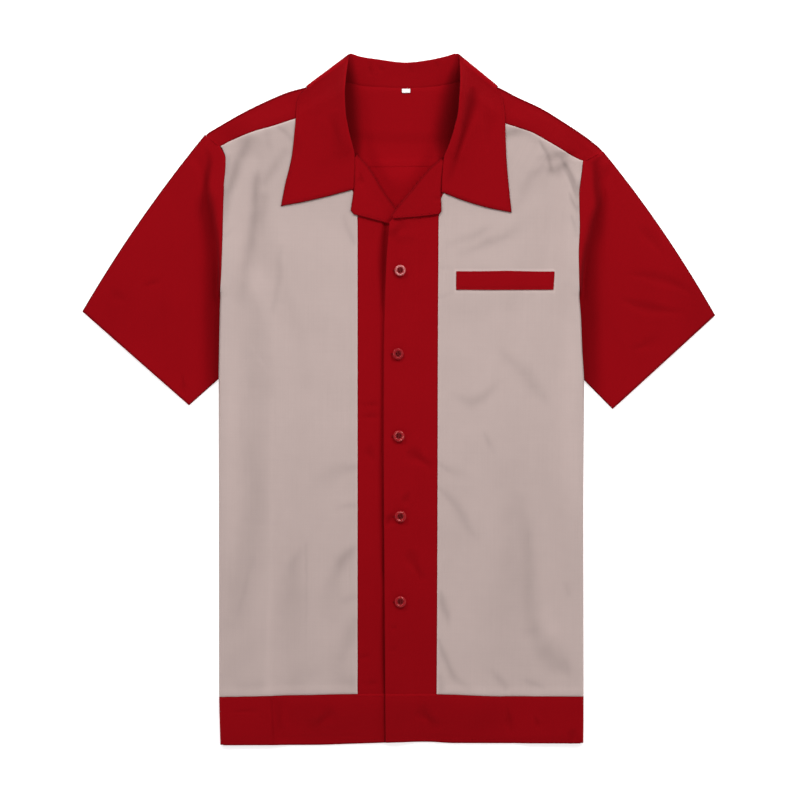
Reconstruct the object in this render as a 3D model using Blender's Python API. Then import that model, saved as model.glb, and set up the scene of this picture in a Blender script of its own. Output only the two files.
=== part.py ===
# Short-sleeved camp-collar bowling shirt, laid flat on its back, face up, with
# both sides turned under.
#
# The shirt lies on the plane z = 0.  +X is the wearer's left, +Y points to the
# collar, +Z up.  The tables are in millimetres and the meshes in metres.
# Every piece is a thin closed wall.  The pieces lie on each other in layers, one
# layer pitch apart, and meet edge to edge at the seams.

import math
import bpy
import bmesh
import numpy as np

for old in list(bpy.data.objects):
    bpy.data.objects.remove(old, do_unlink=True)

# ---------------------------------------------------------------- dimensions
MM = 0.001
CLOTH = 1.0                  # wall of one layer of cloth
GAP = 0.3                    # clearance between layers and at seams
PITCH = CLOTH + GAP          # from one layer to the next
SEAM = GAP / 2               # half of the gap at a seam
FRONT_RADIUS = 1.5 * PITCH   # front layer's bend round the turned-under side
BACK_RADIUS = 0.5 * PITCH    # back layer's bend, inside the front's
PUFF = 2.0                   # how far the front stands off the back
SLEEVE_PUFF = 2.2            # how far a sleeve's upper layer stands off
TUCK_RAMP = 14.0             # width of the slope beside a turned-under strip
LAPEL_REST = PITCH + 0.45    # from the front's middle to the lapel's
LAPEL_LIFT = LAPEL_REST + 0.45   # rise of the left front over the right lapel's tip
ROLL_RADIUS = 1.15           # bend of the collar along its roll line
BUTTON_DIAMETER = 12.6
BUTTON_HEIGHT = 2.6
BUTTON_HOLE = 1.5
BUTTON_HOLE_PITCH = 2.6
SEGMENTS = 12                # round a button

RIGHT, LEFT = "right", "left"
SIGN = {RIGHT: -1.0, LEFT: 1.0}

# Outer edge of the body: armhole seam above, turned-under side below.
EDGE = {
    RIGHT: [  # y, x
        (-374, -191.0), (-346, -192.2), (-318, -193.4), (-120, -194.2),
        (15, -194.9), (49, -194.2), (101, -193.1), (144, -190.9),
        (179, -189.9), (231, -188.8), (251, -187.2), (257, -186.8),
        (273, -193.1), (285.9, -209.3)],
    LEFT: [
        (-374, 199.4), (-346, 199.8), (-318, 200.0), (-120, 199.8),
        (15, 200.0), (54, 197.9), (88, 196.8), (118, 194.6),
        (157, 193.9), (188, 195.2), (218, 194.6), (248, 197.9),
        (256.8, 198.9), (268.1, 220.5)],
}
# Sides turned under: width of the strip, and the layers that lie beneath the body.
TUCK = [  # y, strip width, layers beneath
    (-380, 50, 2), (-180, 51, 2), (-6, 52, 2), (20, 51, 4), (45, 36, 4),
    (70, 19, 4), (95, 7, 4), (112, 3, 4), (150, 3, 0), (380, 3, 0)]
# Fold of the yoke over each shoulder, from the sleeve to the neck.
SHOULDER = [  # x, y
    (-209.3, 285.9), (-197.4, 293.0), (-171.5, 308.0), (-145.6, 321.0),
    (-119.7, 331.6), (-99.5, 336.2), (-70.0, 346.2), (0.0, 346.4),
    (81.2, 346.2), (106.0, 336.2), (126.6, 325.2), (152.5, 313.2),
    (178.4, 297.2), (204.3, 280.0), (220.5, 268.1)]
# Seam between the yoke and the front panels.
YOKE_SEAM = [  # x, y
    (-193.1, 273.0), (-184.5, 278.4), (-158.5, 289.2), (-132.6, 296.7),
    (-113.2, 303.2), (-64.5, 315.5), (72.0, 312.0), (115.8, 297.8),
    (139.5, 290.3), (165.5, 276.2), (191.4, 261.1), (198.9, 256.8)]
# Seam of the collar's stand on the back neck.
BACK_NECK = [  # x, y
    (-70.0, 346.2), (-60.0, 343.4), (-49.0, 341.0), (-37.2, 338.2),
    (-16.0, 336.9), (7.7, 336.2), (32.0, 337.2), (50.0, 339.8),
    (60.0, 342.0), (70.0, 344.2), (81.2, 346.2)]
YOKE_BACK_SEAM_Y = 251.0
YOKE_ARMHOLE_Y = {RIGHT: (251.15, 256.5, 262.0, 273.0, 279.0, 284.6),
                  LEFT: (251.15, 253.9, 256.8, 260.4, 264.0, 266.9)}
BAND_SEAM = [  # x, y
    (-200, -320.8), (-171, -320.6), (-44, -317.8), (41, -317.3),
    (114, -320.3), (205, -320.6)]
HEM = [  # x, y
    (-200, -373.8), (-94, -373.6), (-40, -371.8), (30, -369.8),
    (60, -371.6), (205, -371.8)]
# Rows of a front panel, from its outer edge to its inner edge.
FRONT_ROWS = {
    RIGHT: [  # outer y, inner y, inner x
        (273, 315.5, -64.5), (262, 297, -59.6), (251, 277, -53.2),
        (232, 259, -44.1), (205, 215, -44.1), (176, 178, -44.1)],
    LEFT: [
        (256.8, 312, 72.0), (250, 296, 66.0), (243, 276, 56.8),
        (230, 255, 44.4), (205, 215, 44.0), (176, 178, 43.6)],
}
PLACKET_SEAM = {RIGHT: [(-380, -44.1), (300, -44.1)],          # y, x
                LEFT: [(-380, 40.9), (-200, 42.3), (100, 43.3), (260, 44.4)]}
BODY_ROWS = [150, 137, 125, 112, 95, 70, 45, 20, -6, -60, -120, -185, -250]
# Front opening: edge of each front where it overlaps, and the lapels' fold lines.
OVERLAP_EDGE = [(-374, -13.3), (-216, -14.4), (-54, -16.0), (108, -15.4),
                (192, -12.9)]                                  # y, x
UNDER_EDGE_X = 12.0
FOLD_LINE = {RIGHT: [(-47.4, 264.5), (-32.9, 249.4), (-19.2, 226.0),
                     (-4.1, 205.1), (12.0, 180.6)],            # x, y
             LEFT: [(-12.9, 192.0), (-9.5, 195.6), (15.2, 226.0),
                    (34.6, 249.4), (48.3, 260.4)]}
LAPEL = {
    RIGHT: [  # fold x, fold y, outer x, outer y
        (-45.9, 263.0, -47.5, 260.5), (-41.0, 258.0, -47.7, 244.0),
        (-34.0, 250.8, -48.2, 227.2), (-26.5, 238.8, -51.7, 204.4),
        (-19.2, 226.0, -48.6, 200.0), (-12.0, 215.6, -30.0, 195.0),
        (-4.1, 205.1, -17.0, 191.6), (2.0, 195.9, -6.0, 188.2),
        (7.2, 188.0, 4.6, 184.7)],
    LEFT: [
        (46.4, 258.8, 47.7, 256.4), (41.6, 255.0, 46.0, 240.0),
        (34.6, 249.0, 45.1, 224.9), (25.0, 238.0, 45.9, 203.5),
        (15.2, 225.6, 43.4, 200.1), (8.2, 217.2, 30.0, 198.2),
        (1.2, 208.7, 15.0, 196.6), (-3.8, 202.5, 4.0, 195.6),
        (-7.4, 198.2, -5.0, 194.6)],
}
# Collar sections from the centre back to the notch.  Each has a point on the roll
# line, one on the neck seam and one on the outer edge.  A section lies over the
# shoulder, or under it, or on the fold where the fall turns over the shoulder.
OVER, UNDER, TURN, GORGE = "over", "under", "turn", "gorge"
COLLAR = {
    RIGHT: [  # kind, roll x, y, z, seam x, y, edge x, y
        (UNDER, -22.0, 367.0, 3.0, -16.0, 337.3, -20.0, 303.3),
        (UNDER, -42.0, 371.4, 3.0, -37.5, 338.7, -48.0, 306.5),
        (UNDER, -49.2, 373.2, 3.0, -48.9, 341.5, -76.0, 318.0),
        (TURN, -53.2, 373.0, 2.6, -59.5, 344.3, -100.0, 337.9),
        (OVER, -55.0, 364.5, 6.0, -69.6, 347.4, -108.3, 328.0),
        (OVER, -57.0, 348.0, 10.0, -67.9, 337.0, -110.8, 316.0),
        (OVER, -58.2, 330.0, 13.5, -66.4, 327.0, -111.2, 303.2),
        (OVER, -57.4, 311.5, 14.0, -62.6, 309.5, -112.6, 287.0),
        (OVER, -54.3, 290.5, 11.0, -56.9, 289.5, -115.2, 264.0),
        (OVER, -49.9, 273.0, 7.2, -52.4, 273.5, -119.0, 246.0),
        (GORGE, -47.9, 263.6, 1.2, 0, 0, -121.6, 236.5),
        (GORGE, -48.0, 251.0, 0.7, 0, 0, -123.7, 226.5),
        (GORGE, -48.4, 238.5, 0.4, 0, 0, -125.3, 217.5),
        (GORGE, -48.7, 227.4, 0.2, 0, 0, -126.7, 210.2)],
    LEFT: [
        (UNDER, 34.0, 366.6, 3.0, 32.0, 337.6, 36.0, 303.3),
        (UNDER, 54.0, 371.2, 3.0, 50.0, 340.2, 64.0, 307.0),
        (UNDER, 60.4, 373.2, 3.0, 60.0, 342.5, 90.0, 319.0),
        (TURN, 64.2, 373.0, 2.6, 70.0, 344.9, 107.0, 337.9),
        (OVER, 66.0, 364.0, 6.0, 80.8, 347.4, 111.3, 328.0),
        (OVER, 66.3, 348.0, 10.0, 79.0, 337.5, 113.6, 316.0),
        (OVER, 65.5, 331.0, 13.5, 75.6, 327.0, 114.7, 303.0),
        (OVER, 63.9, 311.5, 14.0, 70.5, 309.0, 115.1, 287.0),
        (OVER, 59.3, 289.5, 11.0, 62.3, 287.5, 116.0, 262.0),
        (OVER, 53.0, 271.0, 7.2, 55.7, 271.5, 117.7, 240.0),
        (GORGE, 48.8, 260.2, 1.2, 0, 0, 118.9, 228.0),
        (GORGE, 47.5, 248.0, 0.7, 0, 0, 119.8, 218.5),
        (GORGE, 46.4, 236.0, 0.4, 0, 0, 120.6, 210.5),
        (GORGE, 45.9, 225.0, 0.2, 0, 0, 121.3, 203.8)],
}
COLLAR_CENTRE = (UNDER, 7.8, 363.6, 3.0, 7.7, 336.6, 7.8, 303.0)
TIP_SAG = {RIGHT: 1.2, LEFT: 2.6}        # bow of the edge between notch and tip
# Sleeves: tip of the shoulder, ends of the cuff, rows down the armhole.
SLEEVE = {
    RIGHT: dict(tip=(-209.3, 285.9), cuff_top=(-340.4, 96.9),
                cuff_bottom=(-225.2, -3.8), bow=6.0,
                rows=[273, 262, 251, 232, 205, 176, 150, 137, 125, 112, 95, 70,
                      45, 24]),
    LEFT: dict(tip=(220.5, 268.1), cuff_top=(340.4, 92.8),
               cuff_bottom=(230.0, -7.8), bow=5.0,
               rows=[256.8, 250, 243, 230, 205, 176, 150, 137, 125, 112, 95, 70,
                     45, 24]),
}
SLEEVE_STATIONS = [0.0, 0.05, 0.16, 0.34, 0.56, 0.80, 1.0]
WELT = dict(x0=61.8, x1=167.1, top=138.5, bottom=118.5)
LABEL = dict(x0=3.3, x1=12.3, top=335.5, bottom=330.7)
BUTTONS = [  # x, y
    (1.5, 139.2), (-1.0, 49.3), (0.2, -39.2), (1.8, -125.6), (1.8, -217.4)]

COLOURS = {  # base colour, roughness
    "red_cotton": ((0.283, 0.0035, 0.0070), 0.85),
    "cream_cotton": ((0.515, 0.407, 0.381), 0.88),
    "white_tape": ((0.80, 0.79, 0.78), 0.80),
    "red_button": ((0.250, 0.010, 0.014), 0.18),
}


# ---------------------------------------------------------------- curves
def curve(rows, key=0, value=1):
    """Smooth monotone curve through two columns of a table."""
    pts = sorted((float(r[key]), float(r[value])) for r in rows)
    xs = [p[0] for p in pts]
    ys = [p[1] for p in pts]
    n = len(xs)
    d = [(ys[i + 1] - ys[i]) / (xs[i + 1] - xs[i]) for i in range(n - 1)]
    m = [d[0]] + [0.0] * (n - 2) + [d[-1]]
    for i in range(1, n - 1):
        if d[i - 1] * d[i] > 0:
            w0 = 2 * (xs[i + 1] - xs[i]) + (xs[i] - xs[i - 1])
            w1 = (xs[i + 1] - xs[i]) + 2 * (xs[i] - xs[i - 1])
            m[i] = (w0 + w1) / (w0 / d[i - 1] + w1 / d[i])

    def f(x):
        if x <= xs[0]:
            return ys[0]
        if x >= xs[-1]:
            return ys[-1]
        i = max(k for k in range(n - 1) if xs[k] <= x)
        h = xs[i + 1] - xs[i]
        t = (x - xs[i]) / h
        return (ys[i] * (1 + 2 * t) * (1 - t) ** 2 + h * m[i] * t * (1 - t) ** 2
                + ys[i + 1] * t * t * (3 - 2 * t) + h * m[i + 1] * t * t * (t - 1))
    return f


def chords(f, stations):
    """The same curve as straight chords between the rows that all pieces share."""
    xs = sorted(stations)
    ys = [f(x) for x in xs]
    return lambda x: float(np.interp(x, xs, ys))


def smooth(t):
    t = min(1.0, max(0.0, t))
    return t * t * (3 - 2 * t)


def mix(a, b, t):
    return a + (b - a) * t


EDGE_STATIONS = {s: ([r[0] for r in FRONT_ROWS[s]] + BODY_ROWS
                     + [EDGE[s][-1][0], -318.0, -346.0, -374.0]) for s in EDGE}
edge_x = {s: chords(curve(EDGE[s]), EDGE_STATIONS[s]) for s in EDGE}
strip_width = curve(TUCK, 0, 1)
layers_beneath = curve(TUCK, 0, 2)
shoulder_y = curve(SHOULDER)
back_neck_y = curve(BACK_NECK)
band_seam_y = curve(BAND_SEAM)
hem_y = curve(HEM)
placket_x = {s: curve(PLACKET_SEAM[s]) for s in PLACKET_SEAM}
overlap_x = curve(OVERLAP_EDGE)
fold_y = {s: curve(FOLD_LINE[s]) for s in FOLD_LINE}


# ---------------------------------------------------------------- yoke seam, shared by yoke and panels
PANEL_COLUMNS = [0.0, 0.25, 0.5, 0.75, 1.0]
SEAM_X = {}
for _s in (RIGHT, LEFT):
    _y, _, _x = FRONT_ROWS[_s][0]
    _outer = edge_x[_s](_y)
    _ramp = _outer - SIGN[_s] * (FRONT_RADIUS + CLOTH / 2 + 8.0 + TUCK_RAMP)
    _inner = _x + SIGN[_s] * SEAM
    SEAM_X[_s] = [_outer] + [mix(_ramp, _inner, f) for f in PANEL_COLUMNS]
yoke_seam_y = chords(curve(YOKE_SEAM), SEAM_X[RIGHT] + SEAM_X[LEFT])


# ---------------------------------------------------------------- height of the layers
def tuck_lift(y):
    return PITCH * layers_beneath(y)


def bend_x(side, y):
    """Where the flat layers end and the bend of the turned-under side begins."""
    return edge_x[side](y) - SIGN[side] * (FRONT_RADIUS + CLOTH / 2)


def plateau(y):
    return max(strip_width(y) + 2.0, 8.0)


def inward(side, x, y):
    return SIGN[side] * (bend_x(side, y) - x)


# The collar's fall lies under the yoke inside this outline.
FALL_OUTLINE = ([(r[1], r[2]) for r in COLLAR[RIGHT][3:4]]
                + [(r[6], r[7]) for r in reversed(COLLAR[RIGHT][:4])]
                + [(COLLAR_CENTRE[6], COLLAR_CENTRE[7])]
                + [(r[6], r[7]) for r in COLLAR[LEFT][:4]]
                + [(r[1], r[2]) for r in COLLAR[LEFT][3:4]])


def outside_fall(x, y):
    """Distance from a point to the outline of the fall, zero inside it."""
    best, inside = 1e9, False
    n = len(FALL_OUTLINE)
    for i in range(n):
        (ax, ay), (bx, by) = FALL_OUTLINE[i], FALL_OUTLINE[(i + 1) % n]
        dx, dy = bx - ax, by - ay
        t = min(1.0, max(0.0, ((x - ax) * dx + (y - ay) * dy) / (dx * dx + dy * dy)))
        best = min(best, math.hypot(x - ax - t * dx, y - ay - t * dy))
        if (ay > y) != (by > y) and x < ax + dx * (y - ay) / dy:
            inside = not inside
    return 0.0 if inside else best


def back_z(x, y):
    """Middle of the back layer."""
    z = CLOTH / 2
    for side in (RIGHT, LEFT):
        z += tuck_lift(y) * smooth(1 - (inward(side, x, y) - plateau(y)) / TUCK_RAMP)
    return z + PITCH * smooth(1 - (outside_fall(x, y) - 12.0) / 16.0)


def puff(x, y):
    d = min(inward(s, x, y) for s in (RIGHT, LEFT))
    return (PUFF * smooth((d - plateau(y) - TUCK_RAMP) / 45.0)
            * smooth((y - hem_y(x)) / 60.0) * smooth((shoulder_y(x) - y) / 50.0))


def front_z(x, y):
    """Middle of the front layer."""
    return back_z(x, y) + PITCH + puff(x, y)


def over_z(x, y):
    """Middle of the left front where it laps over the right front."""
    lap = PITCH * smooth((24.0 - x) / 11.0)
    lapel_tip = LAPEL_LIFT * smooth((y - 168.0) / 12.0) * smooth((26.0 - x) / 12.0)
    return front_z(x, y) + lap + lapel_tip


# ---------------------------------------------------------------- closed walls
def shell(name, top, bottom, material, mask=None, ring=False):
    """Closed wall between two grids of points; ring joins the first index's ends."""
    nu, nv = len(top), len(top[0])
    cu, cv = (nu if ring else nu - 1), nv - 1
    keep = [[True if mask is None else bool(mask(i, j)) for j in range(cv)]
            for i in range(cu)]
    bm = bmesh.new()
    made = {}

    def vert(layer, i, j):
        key = (layer, i % nu, j)
        if key not in made:
            p = (top if layer else bottom)[i % nu][j]
            made[key] = bm.verts.new((p[0] * MM, p[1] * MM, p[2] * MM))
        return made[key]

    def present(i, j):
        if ring:
            i %= cu
        return 0 <= i < cu and 0 <= j < cv and keep[i][j]

    def quad(a, b, c, d):
        bm.faces.new((a, b, c))
        bm.faces.new((a, c, d))

    def middle(i, j):
        i %= nu
        return [(a + b) / 2 for a, b in zip(top[i][j], bottom[i][j])]

    def first_diagonal(k):
        """Same diagonal in every layer of a stack: it depends on the slopes only."""
        a, b, c, d = (middle(*q) for q in k)
        fall = abs(a[2] - c[2]) - abs(b[2] - d[2])
        if abs(fall) > 1e-4:
            return fall < 0
        return (a[0] - c[0]) * (a[1] - c[1]) > (b[0] - d[0]) * (b[1] - d[1])

    for i in range(cu):
        for j in range(cv):
            if not keep[i][j]:
                continue
            ring4 = [(i, j), (i + 1, j), (i + 1, j + 1), (i, j + 1)]
            turn = ring4 if first_diagonal(ring4) else ring4[1:] + ring4[:1]
            quad(*[vert(1, *k) for k in turn])
            quad(*[vert(0, *k) for k in (turn[0], turn[3], turn[2], turn[1])])
            for (di, dj), a, b in (((0, -1), ring4[0], ring4[1]),
                                   ((1, 0), ring4[1], ring4[2]),
                                   ((0, 1), ring4[2], ring4[3]),
                                   ((-1, 0), ring4[3], ring4[0])):
                if not present(i + di, j + dj):
                    quad(vert(1, *b), vert(1, *a), vert(0, *a), vert(0, *b))
    return finish(name, bm, material)


def finish(name, bm, material):
    bmesh.ops.triangulate(bm, faces=bm.faces[:])
    bmesh.ops.recalc_face_normals(bm, faces=bm.faces[:])
    if bm.calc_volume(signed=True) < 0:
        bmesh.ops.reverse_faces(bm, faces=bm.faces[:])
    mesh = bpy.data.meshes.new(name)
    bm.to_mesh(mesh)
    bm.free()
    mesh.shade_smooth()
    mesh.set_sharp_from_angle(angle=math.radians(40))
    mesh.materials.append(MATERIALS[material])
    obj = bpy.data.objects.new(name, mesh)
    bpy.context.scene.collection.objects.link(obj)
    return obj


def flat_wall(name, rows, material, mask=None, wall=CLOTH):
    """Wall round a nearly level surface, thickened straight up and down."""
    half = wall / 2
    return shell(name, [[(x, y, z + half) for x, y, z in r] for r in rows],
                 [[(x, y, z - half) for x, y, z in r] for r in rows], material, mask)


def curved_wall(name, rows, material, mask=None, ring=False, wall=CLOTH):
    """Wall round a curved surface, thickened along its normals."""
    p = np.array(rows, dtype=float)
    nu, nv = p.shape[:2]
    total = np.zeros_like(p)
    cells = [[[] for _ in range(nv)] for _ in range(nu)]
    for i in range(nu if ring else nu - 1):
        for j in range(nv - 1):
            if mask is not None and not mask(i, j):
                continue
            k = (i + 1) % nu
            n = np.cross(p[k, j + 1] - p[i, j], p[i, j + 1] - p[k, j])
            n /= max(np.linalg.norm(n), 1e-9)
            for a, b in ((i, j), (k, j), (i, j + 1), (k, j + 1)):
                total[a, b] += n
                cells[a][b].append(n)
    for i in range(nu):
        for j in range(nv):
            if cells[i][j]:
                n = total[i, j] / max(np.linalg.norm(total[i, j]), 1e-9)
                lean = np.mean([np.dot(n, c) for c in cells[i][j]])
                total[i, j] = n / max(lean, 0.75)
    faces = [p + total * wall / 2, p - total * wall / 2]
    for face in faces:
        face[..., 2] = np.maximum(face[..., 2], 0.0)      # nothing below the surface it lies on
    return shell(name, *faces, material, mask, ring)


def make_materials():
    made = {}
    for name, (colour, roughness) in COLOURS.items():
        mat = bpy.data.materials.new(name)
        mat.use_nodes = True
        bsdf = mat.node_tree.nodes["Principled BSDF"]
        bsdf.inputs["Base Color"].default_value = (*colour, 1.0)
        bsdf.inputs["Roughness"].default_value = roughness
        bsdf.inputs["Metallic"].default_value = 0.0
        made[name] = mat
    return made


MATERIALS = make_materials()


# ---------------------------------------------------------------- body layers and their folded sides
BEND = [0.0, 45.0, 90.0, 135.0, 180.0]       # degrees round the turned-under side


def side_points(side, y, layer):
    """Pairs of (x, z) on the wall's outer and inner face, from the flat layer round
    the fold to the strip's inner edge."""
    s = SIGN[side]
    xc, xe = bend_x(side, y), edge_x[side](y) - s * (CLOTH / 2)
    zb = CLOTH / 2 + tuck_lift(y)
    r = FRONT_RADIUS if layer == "front" else BACK_RADIUS
    zc = zb - BACK_RADIUS
    out = []
    folded = y <= TUCK_START
    for deg in BEND:
        a = math.radians(deg)
        if folded:
            pts = [(xc + s * (r + o) * math.sin(a), zc + (r + o) * math.cos(a))
                   for o in (CLOTH / 2, -CLOTH / 2)]
        else:
            level = 0.0 if layer == "back" else PITCH
            z0 = zb + level
            z1 = min(z0, CLOTH / 2 + level + 1.5)
            t = min(deg, 90.0) / 90.0
            x = mix(xc, edge_x[side](y) - s * SEAM, t)
            z = mix(z0, z1, smooth(t))
            pts = [(x, z + CLOTH / 2), (x, z - CLOTH / 2)]
        out.append(pts)
    w = strip_width(y)
    for t in (0.5, 1.0):
        x = xc - s * w * t
        out.append([(x, zc - r - CLOTH / 2), (x, zc - r + CLOTH / 2)])
    return out


TUCK_START = 112.0
FOLD_COLUMNS = len(BEND) + 2
APPROACH = [1.0, 0.5, 0.0]                   # columns across the raised strip


def body_row(side, layer, y_out, inner, columns, y_of):
    """One row of a body panel from its inner edge to the end of its folded side."""
    x_in = inner
    x_ramp = bend_x(side, y_out) - SIGN[side] * (plateau(y_out) + TUCK_RAMP)
    xs = [mix(x_in, x_ramp, f) for f in columns]
    xs += [bend_x(side, y_out) - SIGN[side] * plateau(y_out) * f for f in APPROACH[:-1]]
    top, bottom = [], []
    height = front_z if layer == "front" else back_z
    for x in xs:
        y = y_of(x)
        z = height(x, y)
        top.append((x, y, z + CLOTH / 2))
        bottom.append((x, y, z - CLOTH / 2))
    y = y_of(edge_x[side](y_out))
    for outer, within in side_points(side, y_out, layer):
        top.append((outer[0], y, outer[1]))
        bottom.append((within[0], y, within[1]))
    return top, bottom


def fold_mask(ys, first_fold):
    """Drops the bend and strip above the level where the side is turned under."""
    def keep(i, j):
        return j < first_fold + 2 or ys[i] <= TUCK_START
    return keep


def front_panel(side):
    columns = PANEL_COLUMNS
    s = SIGN[side]
    x_corner = edge_x[side](FRONT_ROWS[side][0][0])
    yo, yi, xi = FRONT_ROWS[side][0]

    def bow(x):
        return yoke_seam_y(x) - mix(yo, yi, (x - x_corner) / (xi - x_corner))

    rows = [(a, b, c, 1.0 - 0.3 * k) for k, (a, b, c) in enumerate(FRONT_ROWS[side])]
    rows += [(y, y, placket_x[side](y), 0.0) for y in BODY_ROWS]
    rows = [(a, b, c, max(d, 0.0)) for a, b, c, d in rows]
    tops, bottoms, ys = [], [], []
    for k, (y_out, y_in, x_in, b) in enumerate(rows):
        xe = edge_x[side](y_out)
        x_in += s * SEAM

        def y_of(x, y_out=y_out, y_in=y_in, x_in=x_in, xe=xe, b=b, k=k):
            t = min(1.0, max(0.0, (x - xe) / (x_in - xe)))
            return mix(y_out, y_in, t) + b * bow(x) - (SEAM if k == 0 else 0.0)
        top, bottom = body_row(side, "front", y_out, x_in, columns, y_of)
        tops.append(top)
        bottoms.append(bottom)
        ys.append(y_out)
    y_last = -318.0

    def y_of(x):
        return band_seam_y(x) + SEAM
    top, bottom = body_row(side, "front", y_last, placket_x[side](y_last) + s * SEAM,
                           columns, y_of)
    tops.append(top)
    bottoms.append(bottom)
    ys.append(y_last)
    first_fold = len(columns) + len(APPROACH) - 1
    return shell(f"front_panel_{side}", tops, bottoms, "cream_cotton",
                 fold_mask(ys, first_fold))


def joined_rows(layer, levels, columns, centre):
    """Rows that cross the whole body, folded at both sides."""
    tops, bottoms = [], []
    for y_nominal, y_of in levels:
        row_t, row_b = [], []
        for side in (RIGHT, LEFT):
            top, bottom = body_row(side, layer, y_nominal, centre, columns, y_of)
            if side == RIGHT:
                row_t, row_b = top[::-1], bottom[::-1]
            else:
                row_t, row_b = row_t + top[1:], row_b + bottom[1:]
        tops.append(row_t)
        bottoms.append(row_b)
    return tops, bottoms


def joined_mask(ys, total, first_fold):
    def keep(i, j):
        k = min(j, total - 2 - j)            # columns counted from either end
        return k >= FOLD_COLUMNS - 3 or ys[i] <= TUCK_START
    return keep


def back_body():
    columns = [0.0, 0.35, 0.7, 1.0]
    ys = [YOKE_BACK_SEAM_Y, 225, 200, 176] + BODY_ROWS + [-318.0]
    levels = []
    for k, y in enumerate(ys):
        if k == 0:
            levels.append((y, lambda x: YOKE_BACK_SEAM_Y - SEAM))
        elif k == len(ys) - 1:
            levels.append((y, lambda x: band_seam_y(x) + SEAM))
        else:
            levels.append((y, lambda x, y=y: y))
    tops, bottoms = joined_rows("back", levels, columns, 4.0)
    return shell("back_body", tops, bottoms, "red_cotton",
                 joined_mask(ys, len(tops[0]), 0))


def hem_bands():
    levels = [(-318.3, lambda x: band_seam_y(x) - SEAM), (-346.0, lambda x: -346.0),
              (-374.0, lambda x: hem_y(x) + 1.2)]
    tops, bottoms = joined_rows("back", levels, [0.0, 0.35, 0.7, 1.0], 4.0)
    shell("band_back", tops, bottoms, "red_cotton")
    for side in (RIGHT, LEFT):
        s = SIGN[side]
        tops, bottoms = [], []
        for k, y in enumerate((-318.3, -346.0, -374.0)):
            y_of = (lambda x: band_seam_y(x) - SEAM, lambda x: -346.0, hem_y)[k]
            inner = UNDER_EDGE_X if side == RIGHT else overlap_x(y)
            seam = placket_x[side](y) + s * SEAM
            top, bottom = body_row(side, "front", y, seam, PANEL_COLUMNS, y_of)
            lead = []
            stops = (UNDER_EDGE_X, -4.0, -24.0) if side == RIGHT else (inner, 0.0, 13.0, 24.0)
            for x in stops:
                z = front_z(x, y_of(x)) if side == RIGHT else over_z(x, y_of(x))
                lead.append((x, y_of(x), z))
            tops.append([(x, yy, z + CLOTH / 2) for x, yy, z in lead] + top)
            bottoms.append([(x, yy, z - CLOTH / 2) for x, yy, z in lead] + bottom)
        shell(f"band_front_{side}", tops, bottoms, "red_cotton")


def placket(side):
    """Front band between its panel and the front edge, cut along the lapel's fold."""
    if side == RIGHT:
        fractions = [-44.1 + SEAM, -33.0, -19.0, -4.0, UNDER_EDGE_X]
        levels = [None, 190, 150, 112, 70, 20, -60, -120, -185, -250, "seam"]
    else:
        fractions = ["seam", 34.0, 24.0, 13.0, 0.0, "edge"]
        levels = [None, 181, 168, 140, 112, 70, 20, -60, -120, -185, -250, "seam"]
    height = front_z if side == RIGHT else over_z
    rows = []
    for k, level in enumerate(levels):
        row = []
        for x in fractions:
            y_for_x = {"seam": -318.0}.get(level, level)
            if level is None:
                y_for_x = 255.0 if x == "seam" else 192.0
            if x == "seam":
                x = placket_x[side](y_for_x) - SEAM
            elif x == "edge":
                x = overlap_x(y_for_x)
            if level is None:
                y = fold_y[side](x) - 0.6
            elif level == "seam":
                y = band_seam_y(x) + SEAM
            else:
                y = level
                if side == RIGHT and k == 1:     # row bent after the fold line
                    y = mix(level, fold_y[side](x), 0.45) - 6.0
                elif side == RIGHT and k == 2:
                    y = mix(level, fold_y[side](x), 0.12) - 2.0
                elif side == LEFT and k == 1:
                    y = mix(level, fold_y[side](x), 0.15)
            row.append((x, y, height(x, y)))
        rows.append(row)
    return flat_wall(f"placket_{side}", rows, "red_cotton")


def lapel(side):
    base = front_z if side == RIGHT else over_z
    rows = []
    for fx, fy, ox, oy in LAPEL[side]:
        row = []
        for t in (0.0, 0.33, 0.67, 1.0):
            x, y = mix(fx, ox, t), mix(fy, oy, t)
            row.append((x, y, base(x, y) + LAPEL_REST))
        rows.append(row)
    return flat_wall(f"lapel_{side}", rows, "red_cotton")


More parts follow.
